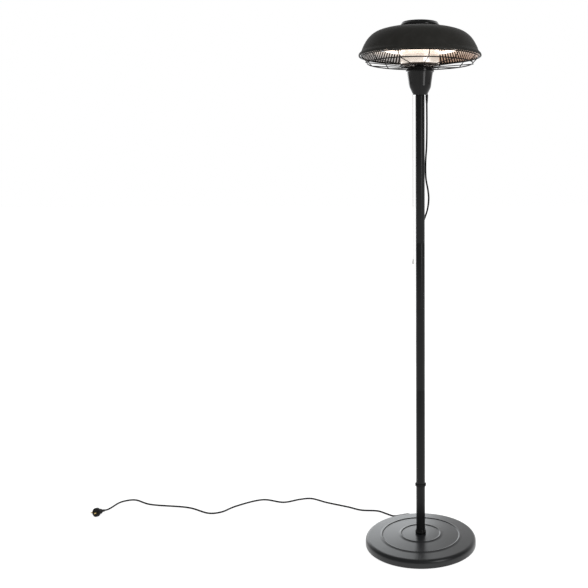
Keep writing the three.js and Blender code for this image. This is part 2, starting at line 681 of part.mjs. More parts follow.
function buildHead() {
  const stemHole = STEM_R + FIT;
  add('hood_shell', revolve([
    ...hoodSide(), [stemHole, hoodTopZ], [stemHole, hoodUnderZ], [HOOD_FLAT_R, hoodUnderZ],
    ...hoodInner.slice(0, -1).reverse(),
  ]), blackPaint);

  const dish = dishSide();
  const dishInner = inset(dish, DISH_WALL);
  const dishFlatR = dish[dish.length - 1][0] - DISH_WALL;
  add('reflector_dish', revolve([
    ...dish, [stemHole, dishTopZ], [stemHole, dishUnderZ], [dishFlatR, dishUnderZ],
    ...dishInner.slice(1, -1).reverse(), [dishEdgeR - DISH_WALL, dishEdgeZ],
  ], 40), polished);

  add('reflector_skirt', flutedSkirt(), polished);

  const drumTopZ = dishUnderZ - FIT;
  const sleeveR = stemHole + SLEEVE_WALL;
  add('reflector_drum', revolve([
    [stemHole, drumZ], [DRUM_R - DRUM_CORNER, drumZ], [DRUM_R, drumZ + DRUM_CORNER], [DRUM_R, drumTopZ],
    [DRUM_R - DRUM_WALL, drumTopZ], [DRUM_R - DRUM_WALL, drumZ + DRUM_CORNER + DRUM_WALL / 2],
    [DRUM_R - DRUM_CORNER - DRUM_WALL / 2, drumZ + DRUM_WALL], [sleeveR, drumZ + DRUM_WALL],
    [sleeveR, drumTopZ], [stemHole, drumTopZ],
  ], 32), polished);
  const spacerZ = dishTopZ + FIT;
  add('hood_spacer', tube(sleeveR, stemHole, spacerZ, hoodUnderZ - FIT - spacerZ, SMALL_ROUND), zinc);
  add('hood_nut', cut(
    join(disc(NUT_R, nutZ, NUT_H, 6), disc(NUT_FLANGE_R, nutZ, NUT_FLANGE_T, 24)),
    disc(stemHole, nutZ - PAST, NUT_H + 2 * PAST, 24),
  ), zinc);

  const posts = Array.from({ length: CAP_POSTS }, (_, i) => {
    const place = polar(CAP_POST_CIRCLE_R, 90 + (360 * i) / CAP_POSTS);
    return disc(CAP_POST_R, hoodTopZ + FIT, capTopZ - CAP_WALL / 2 - hoodTopZ - FIT, 12).translate(place.x, place.y, 0);
  });
  const corner = 3;
  add('top_cap', join(revolve([
    [CAP_R - 1, capZ], [CAP_R, capZ + 1], [CAP_R, capZ + CAP_H * 0.35], [CAP_TOP_R + corner, capTopZ - corner],
    [CAP_TOP_R + 1, capTopZ - 0.8], [CAP_TOP_R - 1.5, capTopZ], [0, capTopZ],
    [0, capTopZ - CAP_WALL], [CAP_TOP_R - CAP_WALL, capTopZ - CAP_WALL],
    [CAP_TOP_R, capTopZ - CAP_WALL - corner + 1], [CAP_R - CAP_WALL, capZ + CAP_H * 0.35], [CAP_R - CAP_WALL, capZ],
  ], 40), ...posts), glossBlack);
}

// A thin cone pressed into upright flutes all the way round.
function flutedSkirt() {
  const bottomZ = rimZ + SKIRT_RISE;
  const topZ = dishEdgeZ - FIT;
  const topR = dishEdgeR + FLUTE_DEPTH / 2;
  const rings = [[skirtBottomR, bottomZ], [topR, topZ], [topR - SKIRT_WALL, topZ], [skirtBottomR - SKIRT_WALL, bottomZ]];
  const positions = [];
  const indices = [];
  const around = 2 * FLUTES;
  for (const [r, z] of rings) {
    for (let i = 0; i < around; i += 1) {
      const angle = (2 * Math.PI * i) / around;
      const reach = r - (i % 2) * FLUTE_DEPTH;
      positions.push(reach * Math.cos(angle), reach * Math.sin(angle), z);
    }
  }
  for (let ring = 0; ring < 4; ring += 1) {
    const next = (ring + 1) % 4;
    for (let i = 0; i < around; i += 1) {
      const j = (i + 1) % around;
      const [a, b, c, d] = [ring * around + i, ring * around + j, next * around + j, next * around + i];
      indices.push(a, b, c, a, c, d);
    }
  }
  const geometry = new THREE.BufferGeometry();
  geometry.setAttribute('position', new THREE.Float32BufferAttribute(positions, 3));
  geometry.setIndex(indices);
  return geometry;
}

// ---------------------------------------------------------------- lamp
class LampArc extends THREE.Curve {
  getPoint(t, target = new THREE.Vector3()) {
    const angle = 90 + LAMP_GAP_DEG / 2 + (360 - LAMP_GAP_DEG) * t;
    return target.copy(polar(LAMP_RING_R, angle, lampZ));
  }
}

function ringShape(outerR, innerR, sides) {
  const shape = circleShape(outerR, sides);
  shape.holes.push(new THREE.Path(circleShape(innerR, sides).getPoints().reverse()));
  return shape;
}

function buildLamp() {
  add('lamp_tube', sweep(ringShape(LAMP_R, LAMP_R - LAMP_WALL, 8), new LampArc(), LAMP_STEPS), quartz);
  add('lamp_filament', sweep(circleShape(FILAMENT_R, 5), new LampArc(), LAMP_STEPS), tungsten);

  const plateZLow = lampZ - LAMP_R - FIT - CLIP_T;
  for (const [i, sign] of [1, -1].entries()) {
    const angle = 90 + sign * (LAMP_GAP_DEG / 2);
    const socket = box(SOCKET_SIZE, new THREE.Vector3(0, -(SOCKET_SIZE.y / 2 + FIT), 0));
    const place = polar(LAMP_RING_R, angle, plateZLow + CLIP_T + FIT + SOCKET_SIZE.z / 2);
    const mesh = add(`lamp_socket_${i + 1}`, socket, whiteCeramic);
    mesh.rotation.z = rad(angle) + (sign > 0 ? 0 : Math.PI);
    mesh.position.copy(place);
  }

  const inner = DRUM_R + FIT;
  const chordR = LAMP_RING_R * Math.cos(rad((360 - LAMP_GAP_DEG) / LAMP_STEPS / 2));
  const lampInner = chordR - LAMP_R - FIT;
  const lampOuter = LAMP_RING_R + LAMP_R + FIT;
  const top = plateZLow + CLIP_T;
  const arm = bracket([
    [inner, plateZLow], [lampOuter + CLIP_T, plateZLow], [lampOuter + CLIP_T, top + CLIP_LIP_H],
    [lampOuter, top + CLIP_LIP_H], [lampOuter, top], [lampInner, top], [lampInner, top + CLIP_LIP_H],
    [lampInner - CLIP_T, top + CLIP_LIP_H], [lampInner - CLIP_T, top], [inner + CLIP_T, top],
    [inner + CLIP_T, plateZLow + CLIP_TAB_H], [inner, plateZLow + CLIP_TAB_H],
  ], CLIP_W);
  for (let i = 0; i < CLIP_COUNT; i += 1) {
    add(`lamp_clip_${i + 1}`, arm, zinc).rotation.z = rad(90 + (360 * (i + 1)) / (CLIP_COUNT + 1));
  }

  const reach = LAMP_RING_R + SOCKET_SIZE.x / 2;
  const shelf = bracket([
    [inner, plateZLow], [reach, plateZLow], [reach, top], [inner + CLIP_T, top],
    [inner + CLIP_T, plateZLow + CLIP_TAB_H], [inner, plateZLow + CLIP_TAB_H],
  ], LAMP_BRACKET_W);
  add('lamp_bracket', shelf, zinc).rotation.z = rad(90);
}

// ---------------------------------------------------------------- wire guard
function buildGuard() {
  const rimWireZ = rimZ - RIM_WIRE_DROP;
  const ringZ = rimZ - GUARD_RING_DROP;
  const hubWireZ = hubFlangeZ + HUB_FLANGE_T + FIT + RIM_WIRE_R;
  const innermost = GUARD_INNER_RINGS[GUARD_INNER_RINGS.length - 1];
  const bottomAt = (r) => hubWireZ + ((ringZ - hubWireZ) * (r - innermost)) / (guardRingR - innermost);
  const pieces = [wireRing(rimWireRingR, rimWireZ, RIM_WIRE_R), wireRing(guardRingR, ringZ, RIM_WIRE_R)];
  for (const r of GUARD_INNER_RINGS) pieces.push(wireRing(r, bottomAt(r), RIM_WIRE_R, 20, 4));
  for (let i = 0; i < GUARD_WIRES; i += 1) {
    const angle = -90 + GUARD_WIRE_PHASE_DEG + (360 * i) / GUARD_WIRES;
    const bend = polar(guardRingR, angle, ringZ);
    pieces.push(rod(polar(rimWireRingR, angle, rimWireZ), bend, GUARD_WIRE_R, 4));
    pieces.push(rod(bend, polar(innermost, angle, hubWireZ), GUARD_WIRE_R, 4));
  }
  add('wire_guard', join(...pieces), wireSteel);

  const boreR = STEM_R + FIT;
  add('guard_hub', revolve([
    [boreR, lidTopZ + FIT], [HUB_R, lidTopZ + FIT], [HUB_R, hubFlangeZ], [HUB_FLANGE_R, hubFlangeZ],
    [HUB_FLANGE_R, hubFlangeZ + HUB_FLANGE_T], [HUB_R, hubFlangeZ + HUB_FLANGE_T],
    [HUB_R, drumZ - FIT], [boreR, drumZ - FIT],
  ], 24), satinPaint);

  const tongueTop = rimWireZ - RIM_WIRE_R - FIT;
  const tongueZ = tongueTop - GUARD_CLIP_T;
  const hoodR = radiusAt(hoodInner, tongueZ + GUARD_CLIP_H) * Math.cos(Math.PI / ROUND);
  const stripR = hoodR - FIT - GUARD_CLIP_T;
  const tongueR = rimWireRingR - RIM_WIRE_R;
  const clip = bracket([
    [tongueR, tongueZ], [stripR + GUARD_CLIP_T, tongueZ], [stripR + GUARD_CLIP_T, tongueZ + GUARD_CLIP_H],
    [stripR, tongueZ + GUARD_CLIP_H], [stripR, tongueTop], [tongueR, tongueTop],
  ], GUARD_CLIP_W);
  for (let i = 0; i < GUARD_CLIPS; i += 1) {
    add(`guard_clip_${i + 1}`, clip, zinc).rotation.z = rad(90 + GUARD_WIRE_PHASE_DEG + 15 + (360 * i) / GUARD_CLIPS);
  }
}

// ---------------------------------------------------------------- mains cord
const cordBackY = POLE_R + 2 * FIT + CORD_R + 0.6;

// Down from the housing, out in a small bow, behind the pole, back over the base and along
// the floor to the plug. [x, y, z]
const CORD_ROUTE = [
  [26.8, 6, 1700], [25.5, 9, 1620], [21.6, 12, 1555], [23, 13.5, 1492], [30.5, 16, 1450], [34, 17, 1414],
  [29, 19, 1370], [14, 21.8, 1324], [1, 22.7, 1284], [0, 22.7, 1180], [0, 22.7, 200], [0, 23.5, 120],
  [0, 32, 78], [0, 56, 54.5], [0, 110, 47.6], [0, 165, 46], [0, 200, 42], [0, 217, 39.4],
  [-1, 229, 29.5], [-3, 233.5, 18], [-10, 239, 9], [-26, 253, 4.3], [-54, 277, 3.9], [-86, 267, 3.9],
  [-118, 257, 3.9], [-150, 279, 3.9], [-190, 309, 3.9], [-268, 319, 3.9], [-328, 352, 3.9],
  [-431, 401, 3.9], [-512, 447, 3.9], [-560, 436, 3.9], [-629, 402, 3.9], [-731, 430, 3.9],
  [-841, 355, 3.9], [-893, 290, 3.9], [-940, 277, 3.9], [-1050, 337, 3.9], [-1239, 372, 3.9], [-1330, 422, 3.9],
  [-1380, 398, 3.9], [-1404, 330, 3.9], [-1411, 310, 5], [-1418, 291, 9.3],
];
const CORD_STEPS = 84;

// The curve gives its points by route point, so that a bend has more of them than a straight.
class CordCurve extends THREE.CatmullRomCurve3 {
  getPointAt(u, target) {
    return this.getPoint(u, target);
  }

  getTangentAt(u, target) {
    return this.getTangent(u, target);
  }
}

function cordCurve() {
  const exit = new THREE.Vector3(CORD_X, CORD_Y, neckZ - RELIEF_L - FIT);
  return new CordCurve([exit, ...CORD_ROUTE.map((point) => new THREE.Vector3(...point))], false, 'centripetal');
}

function buildCord() {
  const curve = cordCurve();
  add('mains_cord', sweep(circleShape(CORD_R, 8), curve, CORD_STEPS), cordRubber);

  const lugY = cordBackY;
  add('cord_clip_ring', cut(
    join(tube(CLIP_RING_R, POLE_R + FIT, CLIP_RING_Z, CLIP_RING_H, 32),
      disc(CORD_LUG_R, CLIP_RING_Z, CLIP_RING_H).translate(0, lugY, 0)),
    disc(CORD_R + FIT, CLIP_RING_Z - PAST, CLIP_RING_H + 2 * PAST, 12).translate(0, lugY, 0),
    disc(POLE_R + FIT, CLIP_RING_Z - PAST, CLIP_RING_H + 2 * PAST, 32),
  ), blackRubber);

  const end = curve.getPoint(1);
  const direction = curve.getTangent(1);
  const plug = new THREE.Group();
  plug.position.copy(end);
  plug.quaternion.setFromUnitVectors(new THREE.Vector3(1, 0, 0), new THREE.Vector3(direction.x, direction.y, 0).normalize());
  const tilted = new THREE.Group();
  tilted.rotation.y = -Math.asin(direction.z);
  plug.add(tilted);
  heater.add(plug);
  const faceX = FIT + PLUG_L;
  add('plug_body', revolve([
    [0, FIT], [PLUG_TAIL_R, FIT], [PLUG_TAIL_R + 2, PLUG_L * 0.35], [PLUG_GRIP_R, PLUG_L * 0.42],
    [PLUG_GRIP_R + 1, PLUG_L - PLUG_FACE_L - 4], [PLUG_R - 1, PLUG_L - PLUG_FACE_L], [PLUG_R, PLUG_L - PLUG_FACE_L + 2],
    [PLUG_R, faceX - 1], [PLUG_R - 1, faceX], [0, faceX],
  ], 20).rotateY(Math.PI / 2), blackRubber, tilted);
  for (const [i, sign] of [1, -1].entries()) {
    const pin = disc(PIN_R, faceX + FIT, PIN_L, 12).rotateY(Math.PI / 2).translate(0, (sign * PIN_PITCH) / 2, 0);
    add(`plug_pin_${i + 1}`, pin, brass, tilted);
  }
}

buildBase();
buildPole();
buildNeck();
buildSwitchgear();
buildHead();
buildLamp();
buildGuard();
buildCord();

export default heater;
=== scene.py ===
"""Looks of the free-standing infrared patio heater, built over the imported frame.

Metres, +Z up, origin on the floor at the middle of the base. -Y is the front.
"""
import json
import math

import bmesh
import bpy
from mathutils import Matrix, Vector


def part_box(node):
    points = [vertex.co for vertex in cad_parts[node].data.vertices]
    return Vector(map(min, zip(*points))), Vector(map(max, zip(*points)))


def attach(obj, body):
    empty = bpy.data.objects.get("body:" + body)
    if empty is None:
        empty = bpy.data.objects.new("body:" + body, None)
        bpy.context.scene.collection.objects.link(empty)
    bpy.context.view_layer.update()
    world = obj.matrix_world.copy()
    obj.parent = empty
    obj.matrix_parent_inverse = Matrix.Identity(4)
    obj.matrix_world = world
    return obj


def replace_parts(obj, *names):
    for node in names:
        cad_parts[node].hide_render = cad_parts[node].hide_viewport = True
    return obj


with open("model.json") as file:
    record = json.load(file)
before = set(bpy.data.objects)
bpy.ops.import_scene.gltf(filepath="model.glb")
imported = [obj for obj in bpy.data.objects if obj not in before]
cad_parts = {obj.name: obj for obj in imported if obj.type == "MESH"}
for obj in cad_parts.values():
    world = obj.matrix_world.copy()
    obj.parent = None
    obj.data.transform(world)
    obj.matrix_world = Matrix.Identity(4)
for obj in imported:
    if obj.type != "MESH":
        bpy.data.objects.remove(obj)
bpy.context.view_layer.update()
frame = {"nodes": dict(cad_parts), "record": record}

ROUND = 128          # segments of a large round piece
SMALL_ROUND = 48     # segments of a small round piece
SHARP = math.radians(32)   # an edge with a greater angle isn't smoothed
FLUTES = 112         # of the reflector skirt


# ------------------------------------------------------------------ camera
CAMERA_AT = Vector((0.0, -3.261, 1.531))
CAMERA_PITCH = 0.0804      # down
CAMERA_YAW = 0.0177        # to the left
CAMERA_ROLL = -0.003
LENS = 50.35
SHIFT_X, SHIFT_Y = -0.19, -0.10


def make_camera():
    """The camera at the photograph's viewing angle."""
    forward = Vector((
        -math.sin(CAMERA_YAW) * math.cos(CAMERA_PITCH),
        math.cos(CAMERA_YAW) * math.cos(CAMERA_PITCH),
        -math.sin(CAMERA_PITCH),
    ))
    level = Vector((math.cos(CAMERA_YAW), math.sin(CAMERA_YAW), 0))
    upright = level.cross(forward)
    right = math.cos(CAMERA_ROLL) * level + math.sin(CAMERA_ROLL) * upright
    up = -math.sin(CAMERA_ROLL) * level + math.cos(CAMERA_ROLL) * upright
    data = bpy.data.cameras.new("camera")
    data.lens = LENS
    data.sensor_width = 36
    data.shift_x, data.shift_y = SHIFT_X, SHIFT_Y
    data.clip_end = 100
    camera = bpy.data.objects.new("camera", data)
    turn = Matrix((right, up, -forward)).transposed().to_4x4()
    camera.matrix_world = Matrix.Translation(CAMERA_AT) @ turn
    bpy.context.scene.collection.objects.link(camera)
    bpy.context.scene.camera = camera


# ------------------------------------------------------------------ mesh helpers
def add_mesh(name, bm, material, body="heater"):
    """Turns a bmesh into a smooth shaded piece that rides on a body."""
    bmesh.ops.remove_doubles(bm, verts=bm.verts, dist=1e-7)
    bmesh.ops.recalc_face_normals(bm, faces=bm.faces)
    for face in bm.faces:
        face.smooth = True
    for edge in bm.edges:
        if len(edge.link_faces) == 2 and edge.calc_face_angle() > SHARP:
            edge.smooth = False
    mesh = bpy.data.meshes.new(name)
    bm.to_mesh(mesh)
    bm.free()
    mesh.materials.append(material)
    piece = bpy.data.objects.new(name, mesh)
    bpy.context.scene.collection.objects.link(piece)
    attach(piece, body)
    return piece


def stand_in(name, bm, material, node):
    """A piece on the heater that takes the place of one of its solids."""
    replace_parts(add_mesh(name, bm, material), node)


def spin(outline, segments=ROUND, start=0.0, sweep=2 * math.pi, reach=None):
    """A closed outline of (radius, height) points turned round the vertical axis. An outline
    that starts and ends on the axis isn't joined there. reach(radius, angle, height) may
    change the radius."""
    bm = bmesh.new()
    full = sweep > 2 * math.pi - 1e-6
    count = segments if full else segments + 1
    rings = []
    for r, z in outline:
        if r < 1e-7:
            rings.append([bm.verts.new((0, 0, z))])
            continue
        ring = []
        for i in range(count):
            angle = start + sweep * i / segments
            at = reach(r, angle, z) if reach else r
            ring.append(bm.verts.new((at * math.cos(angle), at * math.sin(angle), z)))
        rings.append(ring)
    on_axis = len(rings[0]) == 1 and len(rings[-1]) == 1
    pairs = list(zip(rings, rings[1:])) + ([] if on_axis else [(rings[-1], rings[0])])
    for low, high in pairs:
        for i in range(segments):
            j = (i + 1) % count
            if len(low) == 1 and len(high) == 1:
                continue
            if len(low) == 1:
                bm.faces.new((low[0], high[i], high[j]))
            elif len(high) == 1:
                bm.faces.new((low[i], low[j], high[0]))
            else:
                bm.faces.new((low[i], low[j], high[j], high[i]))
    if not full:
        bm.faces.new([ring[0] for ring in rings])
        bm.faces.new([ring[-1] for ring in reversed(rings)])
    return bm


def join(*parts):
    """Several bmeshes in one."""
    whole = parts[0]
    for part in parts[1:]:
        mesh = bpy.data.meshes.new("part")
        part.to_mesh(mesh)
        part.free()
        whole.from_mesh(mesh)
        bpy.data.meshes.remove(mesh)
    return whole


def placed(bm, matrix):
    bm.transform(matrix)
    return bm


def moved(bm, x=0.0, y=0.0, z=0.0):
    return placed(bm, Matrix.Translation((x, y, z)))


def arc(r, z, size, first, last, steps=5):
    """Points of an arc about (r, z), its angles in degrees from the outward direction."""
    turn = [math.radians(first + (last - first) * i / steps) for i in range(steps + 1)]
    return [(r + size * math.cos(a), z + size * math.sin(a)) for a in turn]


def flow(points, steps=6):
    """A smooth line through outline points."""
    line = []
    for i in range(len(points) - 1):
        before = points[max(i - 1, 0)]
        a, b = points[i], points[i + 1]
        after = points[min(i + 2, len(points) - 1)]
        for k in range(steps):
            t = k / steps
            line.append(tuple(
                0.5 * (2 * a[n] + (b[n] - before[n]) * t
                       + (2 * before[n] - 5 * a[n] + 4 * b[n] - after[n]) * t ** 2
                       + (3 * a[n] - before[n] - 3 * b[n] + after[n]) * t ** 3)
                for n in range(2)))
    return line + [points[-1]]


def inset(line, wall):
    """A line moved sideways by a wall thickness, to the left of its run."""
    inner = []
    for i, (r, z) in enumerate(line):
        r0, z0 = line[max(i - 1, 0)]
        r1, z1 = line[min(i + 1, len(line) - 1)]
        length = math.hypot(r1 - r0, z1 - z0)
        inner.append((r - wall * (z1 - z0) / length, z + wall * (r1 - r0) / length))
    return inner


def rounded_tube(outer, inner, low, high, edge):
    """Outline of a tube with rounded outer edges."""
    return (
        [(inner, low)] + arc(outer - edge, low + edge, edge, -90, 0, 3)
        + arc(outer - edge, high - edge, edge, 0, 90, 3) + [(inner, high)]
    )


def wires(name, lines, radius, material, body="heater"):
    """Round wires along lines of points. A line is a pair of its points and whether it is a ring."""
    curve = bpy.data.curves.new(name, "CURVE")
    curve.dimensions = "3D"
    curve.bevel_depth = radius
    curve.bevel_resolution = 4
    curve.use_fill_caps = True
    for points, ring in lines:
        spline = curve.splines.new("POLY")
        spline.points.add(len(points) - 1)
        for point, at in zip(spline.points, points):
            point.co = (*at, 1)
        spline.use_cyclic_u = ring
    curve.materials.append(material)
    piece = bpy.data.objects.new(name, curve)
    bpy.context.scene.collection.objects.link(piece)
    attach(piece, body)
    return piece


def circle(radius, z, count=120):
    return [
        (radius * math.cos(2 * math.pi * i / count), radius * math.sin(2 * math.pi * i / count), z)
        for i in range(count)
    ]


def polar(radius, degrees, z=0.0):
    angle = math.radians(degrees)
    return Vector((radius * math.cos(angle), radius * math.sin(angle), z))


# ------------------------------------------------------------------ materials
def principled(name, color, roughness, metallic=0.0, **sockets):
    material = bpy.data.materials.new(name)
    material.use_nodes = True
    shader = material.node_tree.nodes["Principled BSDF"]
    shader.inputs["Base Color"].default_value = (*color, 1)
    shader.inputs["Roughness"].default_value = roughness
    shader.inputs["Metallic"].default_value = metallic
    for socket, value in sockets.items():
        shader.inputs[socket.replace("_", " ")].default_value = value
    return material


def noise(material, scale, detail=3.0, stretch=(1, 1, 1)):
    """A noise texture in the piece's own coordinates."""
    nodes, links = material.node_tree.nodes, material.node_tree.links
    place = nodes.new("ShaderNodeTexCoord")
    mapping = nodes.new("ShaderNodeMapping")
    mapping.inputs["Scale"].default_value = stretch
    texture = nodes.new("ShaderNodeTexNoise")
    texture.inputs["Scale"].default_value = scale
    texture.inputs["Detail"].default_value = detail
    links.new(place.outputs["Object"], mapping.inputs["Vector"])
    links.new(mapping.outputs["Vector"], texture.inputs["Vector"])
    return texture


def vary(material, texture, dark, light, rough):
    """Colour between two shades and roughness between two values, by the noise."""
    nodes, links = material.node_tree.nodes, material.node_tree.links
    shader = nodes["Principled BSDF"]
    ramp = nodes.new("ShaderNodeValToRGB")
    ramp.color_ramp.elements[0].position = 0.3
    ramp.color_ramp.elements[0].color = (*dark, 1)
    ramp.color_ramp.elements[1].position = 0.7
    ramp.color_ramp.elements[1].color = (*light, 1)
    links.new(texture.outputs["Fac"], ramp.inputs["Fac"])
    links.new(ramp.outputs["Color"], shader.inputs["Base Color"])
    spread = nodes.new("ShaderNodeMapRange")
    spread.inputs["To Min"].default_value = rough[0]
    spread.inputs["To Max"].default_value = rough[1]
    links.new(texture.outputs["Fac"], spread.inputs["Value"])
    links.new(spread.outputs["Result"], shader.inputs["Roughness"])


def bump(material, texture, strength, depth):
    nodes, links = material.node_tree.nodes, material.node_tree.links
    node = nodes.new("ShaderNodeBump")
    node.inputs["Strength"].default_value = strength
    node.inputs["Distance"].default_value = depth
    links.new(texture.outputs["Fac"], node.inputs["Height"])
    links.new(node.outputs["Normal"], nodes["Principled BSDF"].inputs["Normal"])


def powder_paint():
    """Matte powder coat of the hood."""
    material = principled("matte_black_paint", (0.021, 0.0202, 0.018), 0.55, Specular_IOR_Level=0.14)
    vary(material, noise(material, 30), (0.0185, 0.0178, 0.0158), (0.0235, 0.0226, 0.0202), (0.5, 0.62))
    bump(material, noise(material, 900, 2), 0.25, 0.0002)
    return material


def satin_paint():
    """Smooth satin enamel of the base."""
    material = principled("satin_paint", (0.012, 0.0128, 0.0138), 0.3, IOR=1.45)
    vary(material, noise(material, 12), (0.0105, 0.0112, 0.0122), (0.0135, 0.0144, 0.0155), (0.27, 0.34))
    bump(material, noise(material, 350, 2), 0.05, 0.0002)
    return material


def pole_paint():
    """The same enamel, duller, on the pole."""
    material = principled("pole_paint", (0.009, 0.0092, 0.0095), 0.32, Specular_IOR_Level=0.18)
    vary(material, noise(material, 12), (0.008, 0.0082, 0.0085), (0.0105, 0.0107, 0.011), (0.28, 0.36))
    bump(material, noise(material, 350, 2), 0.05, 0.0002)
    return material


def gloss_paint():
    """Gloss enamel of the cap."""
    material = principled("gloss_black_paint", (0.006, 0.006, 0.006), 0.12, Specular_IOR_Level=0.4)
    vary(material, noise(material, 20), (0.005, 0.005, 0.005), (0.009, 0.009, 0.009), (0.1, 0.16))
    bump(material, noise(material, 250, 1), 0.05, 0.0002)
    return material


def gloss_plastic():
    """Moulded black plastic of the switch housing."""
    material = principled("gloss_black_plastic", (0.006, 0.006, 0.006), 0.11, Specular_IOR_Level=0.2)
    vary(material, noise(material, 25), (0.005, 0.005, 0.005), (0.008, 0.008, 0.008), (0.09, 0.15))
    bump(material, noise(material, 300, 2), 0.06, 0.0002)
    return material


def shades(color, dark, light):
    """A darker and a lighter shade of a colour."""
    return tuple(c * dark for c in color), tuple(min(c * light, 1) for c in color)


def rubber(name, color, rough):
    """Dull rubber of one grey."""
    material = principled(name, (color, color, color), rough, IOR=1.2)
    spread = (rough - 0.07, rough + 0.08)
    vary(material, noise(material, 80), (color * 0.85,) * 3, (color * 1.3,) * 3, spread)
    bump(material, noise(material, 1200, 2), 0.2, 0.0001)
    return material


def plastic(name, color, rough):
    material = principled(name, color, rough)
    vary(material, noise(material, 60), *shades(color, 0.92, 1.06), (rough - 0.05, rough + 0.06))
    bump(material, noise(material, 700, 2), 0.1, 0.0001)
    return material


def steel(name, color, rough, stretch=(1, 1, 0.04)):
    """Drawn or brushed metal, its grain along the direction with the small stretch."""
    material = principled(name, color, rough, 1.0)
    texture = noise(material, 500, 3, stretch)
    vary(material, texture, *shades(color, 0.8, 1.15), (rough - 0.08, rough + 0.1))
    bump(material, texture, 0.08, 0.0001)
    return material


def wire_paint():
    """Dark heat proof coating of the guard."""
    material = principled("guard_wire", (0.007, 0.006, 0.0055), 0.5, Specular_IOR_Level=0.1)
    vary(material, noise(material, 120), (0.005, 0.0045, 0.004), (0.01, 0.0085, 0.0075), (0.42, 0.6))
    bump(material, noise(material, 800, 2), 0.2, 0.0001)
    return material


def reflector_metal(name, color, rough, glow):
    """Bright spun aluminium with a warm heat tint, and the lamp's light painted on it as a glow."""
    material = principled(name, color, rough, 1.0)
    texture = noise(material, 60, 4, (1, 1, 6))
    vary(material, texture, *shades(color, 0.86, 1.08), (rough - 0.06, rough + 0.1))
    bump(material, texture, 0.12, 0.0003)
    shader = material.node_tree.nodes["Principled BSDF"]
    # Painted glow: an emission standing in for the lamp's light on the metal.
    shader.inputs["Emission Color"].default_value = (1.0, 0.78, 0.58, 1)
    shader.inputs["Emission Strength"].default_value = glow
    return material


def part_of_place(material, axis):
    """One coordinate of the place on the piece."""
    nodes, links = material.node_tree.nodes, material.node_tree.links
    parts = nodes.new("ShaderNodeSeparateXYZ")
    links.new(nodes["Texture Coordinate"].outputs["Object"], parts.inputs["Vector"])
    return parts.outputs[axis]


def between(material, value, low, high, start=0.0, end=1.0):
    """From start to end, as the value goes from low to high."""
    nodes, links = material.node_tree.nodes, material.node_tree.links
    spread = nodes.new("ShaderNodeMapRange")
    spread.inputs["From Min"].default_value = low
    spread.inputs["From Max"].default_value = high
    spread.inputs["To Min"].default_value = start
    spread.inputs["To Max"].default_value = end
    links.new(value, spread.inputs["Value"])
    return spread.outputs["Result"]


def mixed(material, share, first, second, blend="MIX"):
    """Two colours mixed by a share. Each is a colour or a socket."""
    nodes, links = material.node_tree.nodes, material.node_tree.links
    mix = nodes.new("ShaderNodeMix")
    mix.data_type = "RGBA"
    mix.blend_type = blend
    if isinstance(share, float):
        mix.inputs["Factor"].default_value = share
    else:
        links.new(share, mix.inputs["Factor"])
    for socket, color in (("A", first), ("B", second)):
        if isinstance(color, tuple):
            mix.inputs[socket].default_value = (*color, 1)
        else:
            links.new(color, mix.inputs[socket])
    return mix.outputs["Result"]


def round_wave(material, count):
    """A wave with so many crests round the vertical axis, from -1 to 1."""
    nodes, links = material.node_tree.nodes, material.node_tree.links
    angle = nodes.new("ShaderNodeMath")
    angle.operation = "ARCTAN2"
    links.new(part_of_place(material, "Y"), angle.inputs[0])
    links.new(part_of_place(material, "X"), angle.inputs[1])
    times = nodes.new("ShaderNodeMath")
    times.operation = "MULTIPLY"
    times.inputs[1].default_value = count
    links.new(angle.outputs[0], times.inputs[0])
    wave = nodes.new("ShaderNodeMath")
    wave.operation = "COSINE"
    links.new(times.outputs[0], wave.inputs[0])
    return wave.outputs[0]


COPPER_X = (-0.11, 0.06)         # the skirt turns from grey to copper between these places
GLOW_Z = (1.988, 2.012)          # and a painted glow of the lamp grows between these heights
GROOVE_SHADE_WAVE = (-0.5, 0.3)        # painted shade darkens its grooves between these values of the wave
DRUM_BROWN = (0.0005, 0.0045)    # the drum is brown up to here, measured from its bottom


def fluted_metal():
    """Pressed aluminium, grey on one side and copper on the other, with painted shade darkening its
    grooves and the lamp's light painted on its upper edge as a glow."""
    material = reflector_metal("fluted_aluminium", (0.9, 0.9, 0.9), 0.2, 0.0)
    shader = material.node_tree.nodes["Principled BSDF"]
    grain = shader.inputs["Base Color"].links[0].from_socket
    side = between(material, part_of_place(material, "X"), *COPPER_X)
    tint = mixed(material, side, (0.45, 0.43, 0.415), (0.5, 0.33, 0.24))
    metal = mixed(material, 1.0, grain, tint, "MULTIPLY")
    groove_shade = between(material, round_wave(material, FLUTES), *GROOVE_SHADE_WAVE)
    links = material.node_tree.links
    # Painted shade: the grooves between the flutes go near black.
    links.new(mixed(material, groove_shade, metal, (0.012, 0.009, 0.007)), shader.inputs["Base Color"])
    # Painted glow of the lamp, stronger towards the top; the shaded grooves take none.
    height = between(material, part_of_place(material, "Z"), *GLOW_Z)
    glow = mixed(material, height, (0.012, 0.008, 0.006), (0.8, 0.66, 0.54))
    links.new(mixed(material, groove_shade, glow, (0.0, 0.0, 0.0)), shader.inputs["Emission Color"])
    shader.inputs["Emission Strength"].default_value = 1.0
    return material


